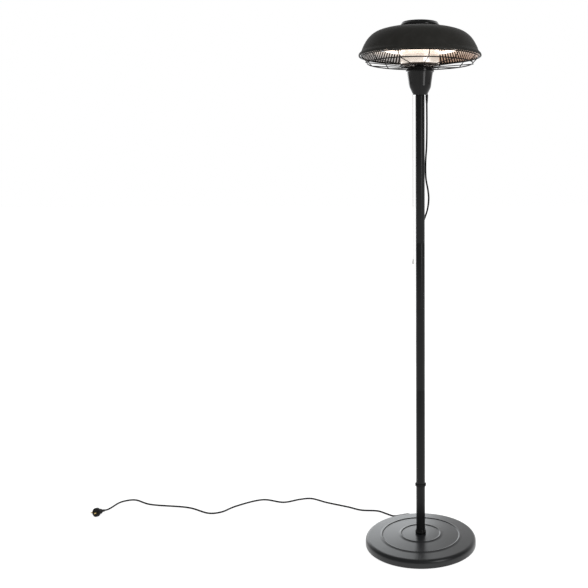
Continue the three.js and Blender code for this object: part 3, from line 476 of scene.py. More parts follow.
def drum_metal():
    """The lamp's light is painted on the drum as a glow. A band at its bottom is darker brown and has no
    glow.
    """
    material = reflector_metal("drum_aluminium", (0.9, 0.84, 0.78), 0.35, 1.0)
    shader = material.node_tree.nodes["Principled BSDF"]
    grain = shader.inputs["Base Color"].links[0].from_socket
    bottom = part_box("reflector_drum")[0].z
    side = between(material, part_of_place(material, "Z"), *[bottom + height for height in DRUM_BROWN])
    links = material.node_tree.links
    links.new(mixed(material, side, (0.2, 0.16, 0.135), grain), shader.inputs["Base Color"])
    # Painted glow of the lamp, switched off on the bottom band.
    links.new(mixed(material, side, (0.0, 0.0, 0.0), (0.48, 0.42, 0.36)), shader.inputs["Emission Color"])
    links.new(between(material, side, 0.0, 1.0, 0.7, 0.3), shader.inputs["Roughness"])
    return material


def cement():
    material = principled("cement", (0.26, 0.25, 0.24), 0.9)
    vary(material, noise(material, 90, 6), (0.2, 0.19, 0.18), (0.33, 0.32, 0.3), (0.8, 0.95))
    bump(material, noise(material, 250, 5), 0.4, 0.001)
    return material


def ceramic():
    material = principled("white_ceramic", (0.78, 0.76, 0.72), 0.45)
    vary(material, noise(material, 150), (0.72, 0.7, 0.65), (0.82, 0.8, 0.76), (0.38, 0.52))
    bump(material, noise(material, 600, 3), 0.15, 0.0001)
    return material


def glowing(name, color, strength):
    material = principled(name, color, 0.3)
    vary(material, noise(material, 40), *shades(color, 0.9, 1.0), (0.25, 0.35))
    shader = material.node_tree.nodes["Principled BSDF"]
    shader.inputs["Emission Color"].default_value = (*color, 1)
    shader.inputs["Emission Strength"].default_value = strength
    return material


def braid():
    """Twisted white string."""
    material = principled("white_string", (0.72, 0.71, 0.69), 0.8)
    vary(material, noise(material, 900, 2), (0.62, 0.61, 0.59), (0.8, 0.79, 0.77), (0.7, 0.9))
    bump(material, noise(material, 1500, 2, (1, 1, 0.5)), 0.4, 0.0003)
    return material


PAINT = powder_paint()
SATIN = satin_paint()
POLE_PAINT = pole_paint()
CAP_PAINT = gloss_paint()
HOUSING = gloss_plastic()
RUBBER = rubber("black_rubber", 0.014, 0.6)
CORD_RUBBER = rubber("cord_rubber", 0.004, 0.6)
ZINC = steel("zinc_steel", (0.46, 0.46, 0.47), 0.35)
GUARD = wire_paint()
# The dish's glow of 0.12 is painted light of the lamp.
REFLECTOR = reflector_metal("polished_aluminium", (0.74, 0.68, 0.62), 0.25, 0.12)
FLUTED = fluted_metal()
DRUM = drum_metal()
CEMENT = cement()
CERAMIC = ceramic()
GREY = plastic("gray_plastic", (0.09, 0.1, 0.1), 0.45)
PALE = plastic("white_plastic", (0.62, 0.62, 0.6), 0.3)
STRING = braid()
BRASS = steel("brass_pin", (0.6, 0.44, 0.17), 0.25)
LAMP = glowing("lamp_glow", (1.0, 0.87, 0.76), 1.4)
TUNGSTEN = glowing("tungsten", (1.0, 0.72, 0.45), 12.0)


# ------------------------------------------------------------------ cords
CORD_DIAMETER = 0.007
CORD_EXIT = (0.0265, 0.006, 1.7887)
CORD_ROUTE = [
    (0.0268, 0.006, 1.7), (0.0255, 0.009, 1.62), (0.0216, 0.012, 1.555), (0.023, 0.0135, 1.492),
    (0.0305, 0.016, 1.45), (0.034, 0.017, 1.414), (0.029, 0.019, 1.37), (0.014, 0.0218, 1.324),
    (0.001, 0.0227, 1.284), (0, 0.0227, 1.18), (0, 0.0227, 0.2), (0, 0.0235, 0.12),
    (0, 0.032, 0.078), (0, 0.056, 0.0545), (0, 0.11, 0.0476), (0, 0.165, 0.046), (0, 0.2, 0.042),
    (0, 0.217, 0.0394), (-0.001, 0.229, 0.0295), (-0.003, 0.2335, 0.018), (-0.01, 0.239, 0.009),
    (-0.026, 0.253, 0.0043), (-0.054, 0.277, 0.0039), (-0.086, 0.267, 0.0039),
    (-0.118, 0.257, 0.0039), (-0.15, 0.279, 0.0039), (-0.19, 0.309, 0.0039),
    (-0.268, 0.319, 0.0039), (-0.328, 0.352, 0.0039), (-0.431, 0.401, 0.0039),
    (-0.512, 0.447, 0.0039), (-0.56, 0.436, 0.0039), (-0.629, 0.402, 0.0039),
    (-0.731, 0.43, 0.0039), (-0.841, 0.355, 0.0039), (-0.893, 0.29, 0.0039),
    (-0.94, 0.277, 0.0039), (-1.05, 0.337, 0.0039), (-1.239, 0.372, 0.0039),
    (-1.33, 0.422, 0.0039), (-1.38, 0.398, 0.0039), (-1.404, 0.33, 0.0039),
    (-1.411, 0.31, 0.005), (-1.418, 0.291, 0.0093),
]
CORD_STEPS = 12            # points between two of the route


def centripetal(route, steps):
    """The same smooth line through the route's points as the solid's."""
    points = [Vector(p) for p in route]
    ends = [points[0] * 2 - points[1], *points, points[-1] * 2 - points[-2]]
    line = []
    for i in range(1, len(ends) - 2):
        p0, p1, p2, p3 = ends[i - 1:i + 3]
        t1 = (p1 - p0).length ** 0.5
        t2 = t1 + (p2 - p1).length ** 0.5
        t3 = t2 + (p3 - p2).length ** 0.5
        for k in range(steps):
            t = t1 + (t2 - t1) * k / steps
            a1 = p0 * ((t1 - t) / t1) + p1 * (t / t1)
            a2 = p1 * ((t2 - t) / (t2 - t1)) + p2 * ((t - t1) / (t2 - t1))
            a3 = p2 * ((t3 - t) / (t3 - t2)) + p3 * ((t - t2) / (t3 - t2))
            b1 = a1 * ((t2 - t) / t2) + a2 * (t / t2)
            b2 = a2 * ((t3 - t) / (t3 - t1)) + a3 * ((t - t1) / (t3 - t1))
            line.append(b1 * ((t2 - t) / (t2 - t1)) + b2 * ((t - t1) / (t2 - t1)))
    return line + [points[-1]]


PLUG_LENGTH = 0.056
PLUG_FACE = 0.013          # length of the round face of the plug
PLUG_RADIUS = 0.019
PLUG_GRIP = 0.012          # radius of the grip
RIB_PITCH = 0.0035         # of the finger ribs on the grip
PIN_RADIUS = 0.0024
PIN_LENGTH = 0.019
PIN_PITCH = 0.019
FIT = 0.0003               # between pieces that meet


def plug_outline():
    body = PLUG_LENGTH - PLUG_FACE
    neck = [(0.0052, 0.0), (0.0056, 0.006), (0.0066, 0.013), (0.0086, 0.019), (0.0112, 0.023)]
    grip = [(PLUG_GRIP, 0.027), (0.0124, 0.032), (0.0128, body - 0.006), (0.0142, body - 0.0025)]
    face = arc(PLUG_RADIUS - 0.0012, body + 0.0012, 0.0012, -90, 0, 3)
    front = arc(PLUG_RADIUS - 0.0015, PLUG_LENGTH - 0.0015, 0.0015, 0, 90, 3)
    return [(0.0, 0.0)] + flow(neck + grip, 3) + face + front + [
        (PLUG_RADIUS - 0.003, PLUG_LENGTH), (PLUG_RADIUS - 0.0036, PLUG_LENGTH - 0.0008),
        (0.0, PLUG_LENGTH - 0.0008),
    ]


def gripped(radius, angle, height):
    """Two flat sides with finger ribs on the plug's grip."""
    body = PLUG_LENGTH - PLUG_FACE
    if not 0.024 < height < body - 0.003:
        return radius
    side = abs(math.sin(angle)) ** 3
    ribs = 0.5 + 0.5 * math.cos(2 * math.pi * height / RIB_PITCH)
    return radius - side * (0.0018 + 0.0006 * ribs)


def make_plug(line):
    """The plug in line with the end of the cord, its round face on the floor."""
    along = (line[-1] - line[-2]).normalized()
    across = Vector((0, 0, 1)).cross(along).normalized()
    over = along.cross(across)
    turn = Matrix((across, over, along)).transposed().to_4x4()
    place = Matrix.Translation(line[-1] + along * FIT) @ turn
    body = add_mesh("plug", placed(spin(plug_outline(), 64, reach=gripped), place), RUBBER)
    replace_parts(body, "plug_body")
    pins = []
    for number, side in ((1, 1), (2, -1)):
        tip = PIN_LENGTH - PIN_RADIUS
        outline = [(0.0, -0.0008), (PIN_RADIUS, -0.0008)] + arc(0, tip, PIN_RADIUS, 0, 90, 6)
        at = Matrix.Translation((side * PIN_PITCH / 2, 0, PLUG_LENGTH + FIT))
        pin = add_mesh(f"plug_blade_{number}", placed(spin(outline, 32), place @ at), BRASS)
        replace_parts(pin, f"plug_pin_{number}")
        pins.append(pin)
    return [body, *pins]


def make_mains_cord():
    line = centripetal([CORD_EXIT, *CORD_ROUTE], CORD_STEPS)
    plug = make_plug(line)
    cord = wires("power_cord", [(line, False)], CORD_DIAMETER / 2, CORD_RUBBER)
    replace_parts(cord, "mains_cord")


PULL_STEPS = 60            # of the straight string
KNOB_SHAPE = [(0.0, 0.0), (0.6, 0.01), (0.85, 0.05), (1.0, 0.16), (0.97, 0.34), (0.78, 0.56),
              (0.52, 0.78), (0.42, 0.93), (0.3, 1.0)]


def make_pull():
    """The string with its knob, which go down together when pulled."""
    low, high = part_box("pull_string")
    middle = (low + high) / 2
    radius = (high.x - low.x) / 2
    top = (middle.x, middle.y, high.z)
    end = (middle.x, middle.y, low.z)
    line = [Vector(top).lerp(Vector(end), i / PULL_STEPS) for i in range(PULL_STEPS + 1)]
    string = wires("pull_cord", [(line, False)], radius, STRING, "pull")
    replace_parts(string, "pull_string")

    knob_low, knob_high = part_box("pull_knob")
    height = knob_high.z - knob_low.z
    width = (knob_high.x - knob_low.x) / 2
    outline = flow([(r * width, knob_low.z + z * height) for r, z in KNOB_SHAPE], 4)
    turned = moved(spin([*outline, (0.0, knob_high.z)], 40), middle.x, middle.y)
    knob = add_mesh("pull_grip", turned, PALE, "pull")
    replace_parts(knob, "pull_knob")


# ------------------------------------------------------------------ base
BASE_CROWN_R = 0.030       # of the flat middle
BASE_CROWN_H = 0.046
BASE_BORE_R = 0.0053
BASE_SHOULDER_R = 0.211
BASE_SHOULDER_H = 0.036
BASE_EDGE_H = 0.019
BASE_WALL = 0.003
BEAD_RADII = (0.081, 0.159)
BEAD_HALF = 0.0048         # half the width of a bead
BEAD_H = 0.0026
BEAD_STEP = 0.0008         # between the points of a bead
CROWN_STEP = 0.005         # between the other points of the crown
SHOULDER_STEPS = 12


def base_height(r):
    """Height of the crowned cover with its beads at a radius."""
    out = max(r - BASE_CROWN_R, 0) / (BASE_SHOULDER_R - BASE_CROWN_R)
    height = BASE_CROWN_H - (BASE_CROWN_H - BASE_SHOULDER_H) * out ** 1.3
    for bead in BEAD_RADII:
        if abs(r - bead) < BEAD_HALF:
            height += BEAD_H * (0.5 + 0.5 * math.cos(math.pi * (r - bead) / BEAD_HALF)) ** 0.7
    return height


def crown_line():
    """The cover's top from the shoulder in to the flat middle."""
    line = []
    r = BASE_SHOULDER_R - 0.001
    while r > BASE_CROWN_R:
        line.append((r, base_height(r)))
        near = min(abs(r - bead) for bead in BEAD_RADII)
        r -= BEAD_STEP if near < BEAD_HALF + 0.001 else CROWN_STEP
    return line


def shoulder_line(outer):
    """The rounded edge of the cover, from its side up to its top."""
    line = []
    for i in range(SHOULDER_STEPS + 1):
        angle = math.pi / 2 * i / SHOULDER_STEPS
        line.append((
            BASE_SHOULDER_R + (outer - BASE_SHOULDER_R) * math.cos(angle),
            BASE_EDGE_H + (BASE_SHOULDER_H - BASE_EDGE_H) * math.sin(angle),
        ))
    return line


def make_base():
    low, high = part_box("base_cover")
    outer = high.x
    inner_edge = outer - BASE_WALL
    under = BASE_CROWN_H - BASE_WALL
    cover = [(inner_edge, low.z)] + arc(outer - 0.001, low.z + 0.001, 0.001, -90, 0, 3)
    cover += shoulder_line(outer) + crown_line()
    cover += [(BASE_CROWN_R, BASE_CROWN_H), (BASE_BORE_R, BASE_CROWN_H), (BASE_BORE_R, under)]
    cover += [(BASE_CROWN_R, under), (BASE_SHOULDER_R, BASE_SHOULDER_H - BASE_WALL),
              (inner_edge, BASE_EDGE_H)]
    stand_in("base_shell", spin(cover, 160), SATIN, "base_cover")
    for number in range(1, 5):
        make_foot(number)
    for number in range(1, 4):
        make_plate_screw(number)


def make_foot(number):
    low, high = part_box(f"base_foot_{number}")
    middle = (low + high) / 2
    radius = (high.x - low.x) / 2
    outline = [(0.0, low.z + 0.0006), (0.0035, low.z + 0.0006), (0.0045, low.z)]
    outline += arc(radius - 0.0012, low.z + 0.0012, 0.0012, -90, 0, 4)
    outline += arc(radius - 0.0008, high.z - 0.0008, 0.0008, 0, 90, 3) + [(0.0, high.z)]
    foot = moved(spin(outline, SMALL_ROUND), middle.x, middle.y)
    stand_in(f"foot_pad_{number}", foot, RUBBER, f"base_foot_{number}")


def make_plate_screw(number):
    """A pan head screw with a round recess, seen from below."""
    low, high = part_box(f"base_plate_screw_{number}")
    middle = (low + high) / 2
    head = (high.x - low.x) / 2
    under = low.z + 0.0018
    outline = [(0.0, low.z + 0.0012), (0.0011, low.z + 0.0012), (0.0013, low.z)]
    outline += arc(head - 0.0011, low.z + 0.0011, 0.0011, -90, 0, 4)
    outline += [(head, under), (0.002, under), (0.002, high.z - 0.001), (0.0, high.z)]
    screw = moved(spin(outline, 32), middle.x, middle.y)
    stand_in(f"plate_screw_{number}", screw, ZINC, f"base_plate_screw_{number}")


# ------------------------------------------------------------------ pole
POLE_WALL = 0.0015
LUG_Y = 0.0227             # middle of the lug, which the cord runs through
LUG_RADIUS = 0.006


def make_pole():
    for part in ("lower", "middle", "upper"):
        low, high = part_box(f"pole_tube_{part}")
        tube = rounded_tube(high.x, high.x - POLE_WALL, low.z, high.z, 0.0002)
        stand_in(f"pole_{part}", spin(tube, 96), POLE_PAINT, f"pole_tube_{part}")


def make_foot_collar():
    """The gloss collar that hides the foot of the pole."""
    low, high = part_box("pole_foot_collar")
    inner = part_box("pole_tube_lower")[1].x + FIT
    outline = [(inner, low.z), (high.x - 0.001, low.z)]
    outline += flow([(high.x, low.z + 0.001), (high.x, low.z + 0.007), (high.x - 0.0007, low.z + 0.011),
                     (high.x - 0.0022, high.z - 0.001), (inner + 0.0006, high.z)], 5)
    outline += [(inner, high.z)]
    stand_in("foot_collar", spin(outline, 96), HOUSING, "pole_foot_collar")


def make_clip_ring():
    """The ring that holds the cord behind the pole, with its lug."""
    low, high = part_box("cord_clip_ring")
    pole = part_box("pole_tube_lower")[1].x
    ring = spin(rounded_tube(high.x, pole + FIT, low.z, high.z, 0.001), 72)
    lug_hole = CORD_DIAMETER / 2 + FIT
    lug = spin(rounded_tube(LUG_RADIUS, lug_hole, low.z, high.z, 0.001), SMALL_ROUND)
    both = join(ring, moved(lug, 0, LUG_Y))
    stand_in("cord_ring", both, RUBBER, "cord_clip_ring")


# ------------------------------------------------------------------ switch housing
NECK_SIDE = [(0.0265, 0.0), (0.0294, 0.004), (0.0333, 0.012), (0.0373, 0.020), (0.0410, 0.0275),
             (0.0431, 0.036), (0.0451, 0.051), (0.0489, 0.078), (0.0508, 0.0885)]
NECK_LIP_H = 0.010
NECK_WALL = 0.0026
NECK_SEAM = 0.0005         # between the two halves
NECK_SEAT = 0.014          # height of the solid foot inside the cup
SLEEVE_TIP = 0.0044        # radius of the cord's sleeve at its lower end
SLEEVE_WIDE = 0.0058       # and under the housing
SLEEVE_NECK = 0.0048       # and inside the housing's hole
SLEEVE_RINGS = 7


def make_neck():
    """The cup of the switch housing, in two halves with a seam at the front and the back."""
    low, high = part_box("neck_shell_right")
    outer = high.x
    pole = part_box("pole_tube_upper")[1].x + FIT
    side = flow([(r, low.z + z) for r, z in NECK_SIDE], 6)
    lip = high.z - NECK_LIP_H
    seat = low.z + NECK_SEAT
    brim = [(outer - 0.0026, lip - 0.0008), (outer - 0.001, lip)]
    brim += arc(outer - 0.001, lip + 0.001, 0.001, -60, 0, 3)
    brim += arc(outer - 0.0015, high.z - 0.0015, 0.0015, 0, 90, 5)
    inner = outer - NECK_WALL
    wall = [point for point in inset(side, NECK_WALL) if point[1] > seat + 0.003][::-1]
    outline = [(pole, low.z)] + side + brim + [(inner, high.z), (inner, lip)] + wall
    outline += [(wall[-1][0], seat), (pole, seat)]
    for name, node, start, sign in (
        ("housing_right", "neck_shell_right", -math.pi / 2, 1),
        ("housing_left", "neck_shell_left", math.pi / 2, -1),
    ):
        half = moved(spin(outline, 72, start, math.pi), sign * NECK_SEAM / 2)
        stand_in(name, half, HOUSING, node)


def stem_bore():
    """Radius of the hole in what sits on the stem."""
    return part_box("stem_tube")[1].x + FIT


def make_lid():
    low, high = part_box("neck_lid")
    lid = rounded_tube(high.x, stem_bore(), low.z, high.z, 0.0008)
    stand_in("housing_lid", spin(lid, 96), HOUSING, "neck_lid")


def make_strain_relief():
    """A tapered rubber sleeve with grooves that let it bend."""
    low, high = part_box("cord_strain_relief")
    middle = (low + high) / 2
    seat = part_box("neck_shell_right")[0].z - FIT
    pitch = (seat - 0.004 - low.z) / SLEEVE_RINGS
    outline = [(0.0, low.z), (SLEEVE_TIP - 0.0006, low.z)]
    for i in range(SLEEVE_RINGS):
        start = low.z + 0.0006 + pitch * i
        r = SLEEVE_TIP + (SLEEVE_WIDE - SLEEVE_TIP) * (i + 0.5) / SLEEVE_RINGS
        outline += [(r, start), (r, start + pitch * 0.6), (r - 0.001, start + pitch * 0.66),
                    (r - 0.001, start + pitch * 0.94)]
    outline += [(SLEEVE_WIDE, seat - 0.0034), (SLEEVE_WIDE, seat), (SLEEVE_NECK, seat),
                (SLEEVE_NECK, high.z), (0.0, high.z)]
    sleeve = moved(spin(outline, 40), middle.x, middle.y)
    stand_in("cord_sleeve", sleeve, RUBBER, "cord_strain_relief")


# ------------------------------------------------------------------ head
HOOD_SHAPE = [
    (0.996, 0.0), (1.0, 0.03), (0.992, 0.09), (0.956, 0.175), (0.93, 0.31), (0.893, 0.46),
    (0.844, 0.61), (0.776, 0.745), (0.69, 0.845), (0.56, 0.925), (0.4, 0.975), (0.25, 1.0),
]
HOOD_WALL = 0.0012
LIP_RADIUS = 0.0016        # of the rolled rim
LIP_OPEN = 24              # degrees that the rolled rim leaves open
CAP_GAP = 0.004            # between the hood and the cap's edge
CAP_FLAT_R = 0.067
CAP_CORNER = 0.0042
CAP_WALL = 0.002
CAP_POST_RING = 0.048      # on which the three posts stand
CAP_POST_R = 0.0035
DISH_WALL = 0.001
DISH_STEPS = 24
SKIRT_WALL = 0.001
SKIRT_OUT = 0.002          # the skirt's top lies this far outside the dish's edge
FLUTE_DEPTH = 0.0009
DRUM_WALL = 0.0012
DRUM_CORNER = 0.005
DRUM_BEAD_Z = 0.0368       # of the fine bead round the drum, from its bottom
DRUM_BEAD = 0.0008         # its height and half its width


def hood_side():
    low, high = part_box("hood_shell")
    return flow([(r * high.x, low.z + z * (high.z - low.z)) for r, z in HOOD_SHAPE], 8)


def radius_at(line, height):
    """Radius of an outline at a height."""
    for (r0, z0), (r1, z1) in zip(line, line[1:]):
        if z0 <= height <= z1 and z1 > z0:
            return r0 + (r1 - r0) * (height - z0) / (z1 - z0)
    return line[-1][0]


def make_hood():
    low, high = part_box("hood_shell")
    side = hood_side()
    bore = stem_bore()
    outline = side + [(bore, high.z), (bore, high.z - HOOD_WALL)] + inset(side, HOOD_WALL)[::-1]
    lip = arc(high.x - LIP_RADIUS * 1.4, low.z + LIP_RADIUS, LIP_RADIUS, 0, 360 - LIP_OPEN, 14)
    stand_in("hood", join(spin(outline, 180), spin(lip, 180)), PAINT, "hood_shell")


def make_cap():
    """The vent cap on three posts."""
    low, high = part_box("top_cap")
    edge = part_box("hood_shell")[1].z + CAP_GAP
    outer, top = high.x, high.z
    inner = outer - 0.0025
    outline = arc(outer - 0.001, edge + 0.001, 0.001, -90, 0, 3)
    outline += flow([(outer, edge + 0.0035), (outer - 0.0015, edge + 0.0068),
                     (CAP_FLAT_R + CAP_CORNER - 0.0004, top - CAP_CORNER)], 4)
    outline += arc(CAP_FLAT_R, top - CAP_CORNER, CAP_CORNER, 12, 90, 7)
    outline += [(CAP_FLAT_R - 0.004, top), (0.0, top), (0.0, top - CAP_WALL)]
    outline += [(CAP_FLAT_R - 0.003, top - CAP_WALL), (inner, edge + 0.006), (inner, edge)]
    posts = []
    for i in range(3):
        place = polar(CAP_POST_RING, 90 + 120 * i)
        head = top - CAP_WALL / 2
        post = [(0.0, low.z), (CAP_POST_R, low.z), (CAP_POST_R, head), (0.0, head)]
        posts.append(moved(spin(post, 32), place.x, place.y))
    cap = join(spin(outline, 144), *posts)
    stand_in("cap", cap, CAP_PAINT, "top_cap")


def make_dish():
    """The dish above the lamp, which follows the inside of the hood."""
    low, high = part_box("reflector_dish")
    bore = stem_bore()
    hood = hood_side()
    gap = radius_at(hood, low.z) - high.x
    heights = [low.z + (high.z - low.z) * i / DISH_STEPS for i in range(DISH_STEPS + 1)]
    side = [(radius_at(hood, z) - gap, z) for z in heights]
    under = inset(side, DISH_WALL)[1:][::-1]
    dish = side + [(bore, high.z), (bore, high.z - DISH_WALL)] + under + [(high.x - DISH_WALL, low.z)]
    stand_in("dish", spin(dish, 144), REFLECTOR, "reflector_dish")


def make_skirt():
    """The fluted cone between the dish and the rim."""
    low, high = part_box("reflector_skirt")
    top_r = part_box("reflector_dish")[1].x + SKIRT_OUT

    def flute(radius, angle, height):
        return radius - FLUTE_DEPTH * (0.5 - 0.5 * math.cos(FLUTES * angle))

    cone = [(high.x, low.z), (top_r, high.z), (top_r - SKIRT_WALL, high.z), (high.x - SKIRT_WALL, low.z)]
    skirt = spin(cone, 8 * FLUTES, reach=flute)
    stand_in("fluted_skirt", skirt, FLUTED, "reflector_skirt")


def make_drum():
    """The bright pot in the middle of the head."""
    low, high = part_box("reflector_drum")
    outer, bottom, top = high.x, low.z, high.z
    bore = stem_bore()
    tube = bore + 0.003
    bead = bottom + DRUM_BEAD_Z
    drum = [(bore, bottom)] + arc(outer - DRUM_CORNER, bottom + DRUM_CORNER, DRUM_CORNER, -90, 0, 6)
    drum += [(outer, bead - DRUM_BEAD), (outer + DRUM_BEAD, bead), (outer, bead + DRUM_BEAD), (outer, top)]
    drum += [(outer - DRUM_WALL, top), (outer - DRUM_WALL, bottom + DRUM_CORNER)]
    drum += [(outer - DRUM_CORNER, bottom + DRUM_WALL), (tube, bottom + DRUM_WALL), (tube, top)]
    drum += [(bore, top)]
    stand_in("drum", spin(drum, 128), DRUM, "reflector_drum")


# ------------------------------------------------------------------ lamp
LAMP_RADIUS = 0.006
LAMP_RING = 0.140
LAMP_GAP = 24              # degrees at the back, between the ends of the tube
LAMP_STEPS = 160


def make_lamp():
    """The glowing ring lamp, with its filament lost in the glow."""
    low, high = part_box("lamp_tube")
    middle = (low.z + high.z) / 2
    first, step = 90 + LAMP_GAP / 2, (360 - LAMP_GAP) / LAMP_STEPS
    line = [polar(LAMP_RING, first + step * i, middle) for i in range(LAMP_STEPS + 1)]
    tube = wires("lamp", [(line, False)], LAMP_RADIUS, LAMP)
    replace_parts(tube, "lamp_tube", "lamp_filament")


# ------------------------------------------------------------------ guard
RIM_RING = (0.229, 1.966)  # radius and height
OUTER_RING = (0.206, 1.942)
INNER_RINGS = (0.078, 0.032)
HUB_WIRE_Z = 1.92725
RING_WIRE = 0.00225        # radius of a ring's wire
SPOKE_WIRE = 0.00175
SPOKES = 12
SPOKE_PHASE = 9            # degrees from the front to the first spoke
HUB_SHANK_R = 0.015
HUB_FLANGE_UP = 0.0067     # of the flange's underside over the hub's bottom
HUB_EDGE = 0.0015          # rounding of the flange


def basket_height(r):
    """Height of the sloping bottom of the basket at a radius."""
    share = (r - INNER_RINGS[-1]) / (OUTER_RING[0] - INNER_RINGS[-1])
    return HUB_WIRE_Z + (OUTER_RING[1] - HUB_WIRE_Z) * share


def spoke(degrees):
    """One wire from the rim down, round a bend and straight in to the hub."""
    rise = (RIM_RING[1] - OUTER_RING[1]) / (RIM_RING[0] - OUTER_RING[0])
    above, below = 0.0045, 0.0065
    line = flow([
        RIM_RING,
        (OUTER_RING[0] + above, OUTER_RING[1] + rise * above),
        (OUTER_RING[0] + 0.0003, OUTER_RING[1] + 0.001),
        (OUTER_RING[0] - below, basket_height(OUTER_RING[0] - below)),
        (INNER_RINGS[-1], HUB_WIRE_Z),
    ], 6)
    return [polar(r, degrees, z) for r, z in line]


def make_guard():
    rings = [(circle(*RIM_RING), True), (circle(*OUTER_RING), True)]
    rings += [(circle(r, basket_height(r)), True) for r in INNER_RINGS]
    guard = wires("guard_rings", rings, RING_WIRE, GUARD)
    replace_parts(guard, "wire_guard")
    spokes = [(spoke(-90 + SPOKE_PHASE + 360 * i / SPOKES), False) for i in range(SPOKES)]
    wires("guard_spokes", spokes, SPOKE_WIRE, GUARD)


def make_hub():
    """The hub of the guard with its flange."""
    low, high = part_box("guard_hub")
    bore = stem_bore()
    flange = low.z + HUB_FLANGE_UP
    edge = high.x - HUB_EDGE
    outline = [(bore, low.z), (HUB_SHANK_R, low.z), (HUB_SHANK_R, flange - 0.001)]
    outline += arc(edge, flange + 0.0015, HUB_EDGE, -90, 0, 4)
    outline += arc(edge, flange + 0.0035, HUB_EDGE, 0, 90, 4)
    outline += [(HUB_SHANK_R + 0.001, flange + 0.005), (HUB_SHANK_R, flange + 0.006),
                (HUB_SHANK_R, high.z), (bore, high.z)]
    stand_in("hub", spin(outline, 72), POLE_PAINT, "guard_hub")


# ------------------------------------------------------------------ CAD nodes that stay
NODE_MATERIALS = {
    "matte_black_paint": PAINT,
    "satin_paint": SATIN,
    "gloss_black_paint": CAP_PAINT,
    "gloss_black_plastic": HOUSING,
    "gray_plastic": GREY,
    "pale_plastic": PALE,
    "black_rubber": RUBBER,
    "cord_rubber": CORD_RUBBER,
    "white_string": STRING,
    "polished_aluminium": REFLECTOR,
    "zinc_steel": ZINC,
    "brass_pin": BRASS,
    "guard_wire": GUARD,
    "cement": CEMENT,
    "white_ceramic": CERAMIC,
    "quartz": LAMP,
    "tungsten": TUNGSTEN,
}


def dress_nodes():
    """Gives every solid the material of its slot, flat shaded."""
    slots = {part["node"]: part["material_slot"] for part in frame["record"]["subparts"]}
    for name, node in frame["nodes"].items():
        node.data.materials.clear()
        node.data.materials.append(NODE_MATERIALS[slots[name]])
        for face in node.data.polygons:
            face.use_smooth = False


# ------------------------------------------------------------------ stage and light
FLOOR_WHITE = 0.86         # glow of the floor where it is seen


def make_floor():
    """A floor that looks white and keeps the object's shadow."""
    bm = bmesh.new()
    bmesh.ops.create_grid(bm, x_segments=1, y_segments=1, size=30)
    mesh = bpy.data.meshes.new("floor")
    bm.to_mesh(mesh)
    bm.free()
    floor = bpy.data.objects.new("floor", mesh)
    bpy.context.scene.collection.objects.link(floor)
    material = bpy.data.materials.new("floor")
    material.use_nodes = True
    nodes, links = material.node_tree.nodes, material.node_tree.links
    nodes.clear()
    out = nodes.new("ShaderNodeOutputMaterial")
    plain = nodes.new("ShaderNodeBsdfDiffuse")
    plain.inputs["Color"].default_value = (0.8, 0.8, 0.8, 1)
    faint = nodes.new("ShaderNodeBsdfDiffuse")
    faint.inputs["Color"].default_value = (0.3, 0.3, 0.3, 1)
    white = nodes.new("ShaderNodeEmission")
    white.inputs["Strength"].default_value = FLOOR_WHITE
    seen = nodes.new("ShaderNodeAddShader")
    mix = nodes.new("ShaderNodeMixShader")
    links.new(faint.outputs[0], seen.inputs[0])
    links.new(white.outputs[0], seen.inputs[1])
    links.new(seen_ray(nodes, links), mix.inputs["Fac"])
    links.new(plain.outputs[0], mix.inputs[1])
    links.new(seen.outputs[0], mix.inputs[2])
    links.new(mix.outputs[0], out.inputs["Surface"])
    mesh.materials.append(material)


def seen_ray(nodes, links):
    """1 for rays that show the background: from the camera, a glossy surface or through glass."""
    path = nodes.new("ShaderNodeLightPath")
    total = path.outputs["Is Camera Ray"]
    for ray in ("Is Glossy Ray", "Is Transmission Ray"):
        add = nodes.new("ShaderNodeMath")
        add.operation = "ADD"
        add.use_clamp = True
        links.new(total, add.inputs[0])
        links.new(path.outputs[ray], add.inputs[1])
        total = add.outputs[0]
    return total


WORLD_LIGHT = 0.8          # on surfaces that scatter it
FRONT_DIMNESS = 0.14       # of the room in front of the object, in reflections


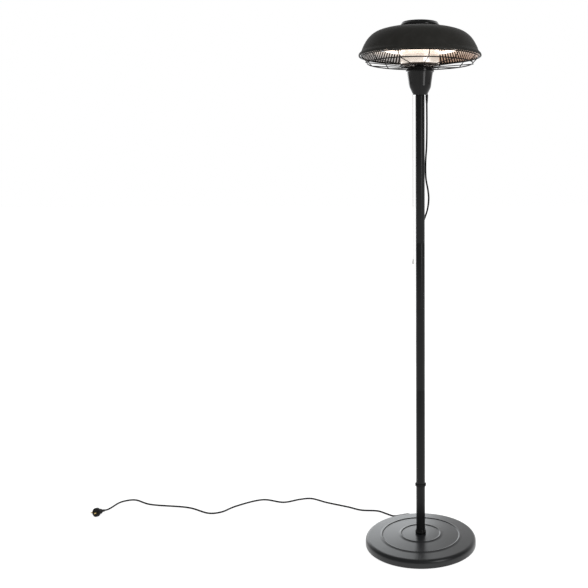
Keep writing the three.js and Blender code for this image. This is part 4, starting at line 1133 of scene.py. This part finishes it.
def make_world():
    """White all round for the camera. Reflections show the white backdrop behind the object
    and a dimmer room in front of it."""
    world = bpy.data.worlds.new("studio")
    bpy.context.scene.world = world
    world.use_nodes = True
    nodes, links = world.node_tree.nodes, world.node_tree.links
    background = nodes["Background"]
    background.inputs["Color"].default_value = (1, 1, 1, 1)

    direction = nodes.new("ShaderNodeTexCoord")
    parts = nodes.new("ShaderNodeSeparateXYZ")
    links.new(direction.outputs["Generated"], parts.inputs["Vector"])
    room = nodes.new("ShaderNodeMapRange")
    room.interpolation_type = "SMOOTHSTEP"
    room.inputs["From Min"].default_value = 0.1
    room.inputs["From Max"].default_value = 0.85
    room.inputs["To Min"].default_value = FRONT_DIMNESS
    room.inputs["To Max"].default_value = 1.0
    links.new(parts.outputs["Y"], room.inputs["Value"])

    path = nodes.new("ShaderNodeLightPath")
    shown = nodes.new("ShaderNodeMath")
    shown.operation = "MAXIMUM"
    links.new(room.outputs["Result"], shown.inputs[0])
    links.new(path.outputs["Is Camera Ray"], shown.inputs[1])
    spread = nodes.new("ShaderNodeMix")
    spread.data_type = "FLOAT"
    spread.inputs["A"].default_value = WORLD_LIGHT
    links.new(seen_ray(nodes, links), spread.inputs["Factor"])
    links.new(shown.outputs[0], spread.inputs["B"])
    links.new(spread.outputs["Result"], background.inputs["Strength"])


def area_light(name, at, aim, size, power, color=(1, 1, 1)):
    """A soft box, pointed at a place."""
    data = bpy.data.lights.new(name, "AREA")
    data.color = color
    data.shape = "RECTANGLE"
    data.size, data.size_y = size
    data.energy = power
    light = bpy.data.objects.new(name, data)
    light.location = at
    light.rotation_mode = "QUATERNION"
    light.rotation_quaternion = (Vector(aim) - Vector(at)).to_track_quat("-Z", "Y")
    bpy.context.scene.collection.objects.link(light)


def make_lights():
    cool = (0.93, 0.97, 1.0)
    area_light("back_left_box", (-1.35, 3.0, 1.1), (-1.15, 0, 0.85), (3.0, 1.9), 38, cool)
    area_light("right_box", (1.93, -2.3, 1.95), (0, 0, 1.95), (0.9, 1.7), 26)


make_camera()
make_mains_cord()
make_pull()
dress_nodes()
make_base()
make_pole()
make_foot_collar()
make_clip_ring()
make_neck()
make_lid()
make_strain_relief()
make_hood()
make_cap()
make_dish()
make_skirt()
make_drum()
make_lamp()
make_guard()
make_hub()
make_floor()
make_world()
make_lights()
bpy.context.scene.view_settings.view_transform = "Standard"
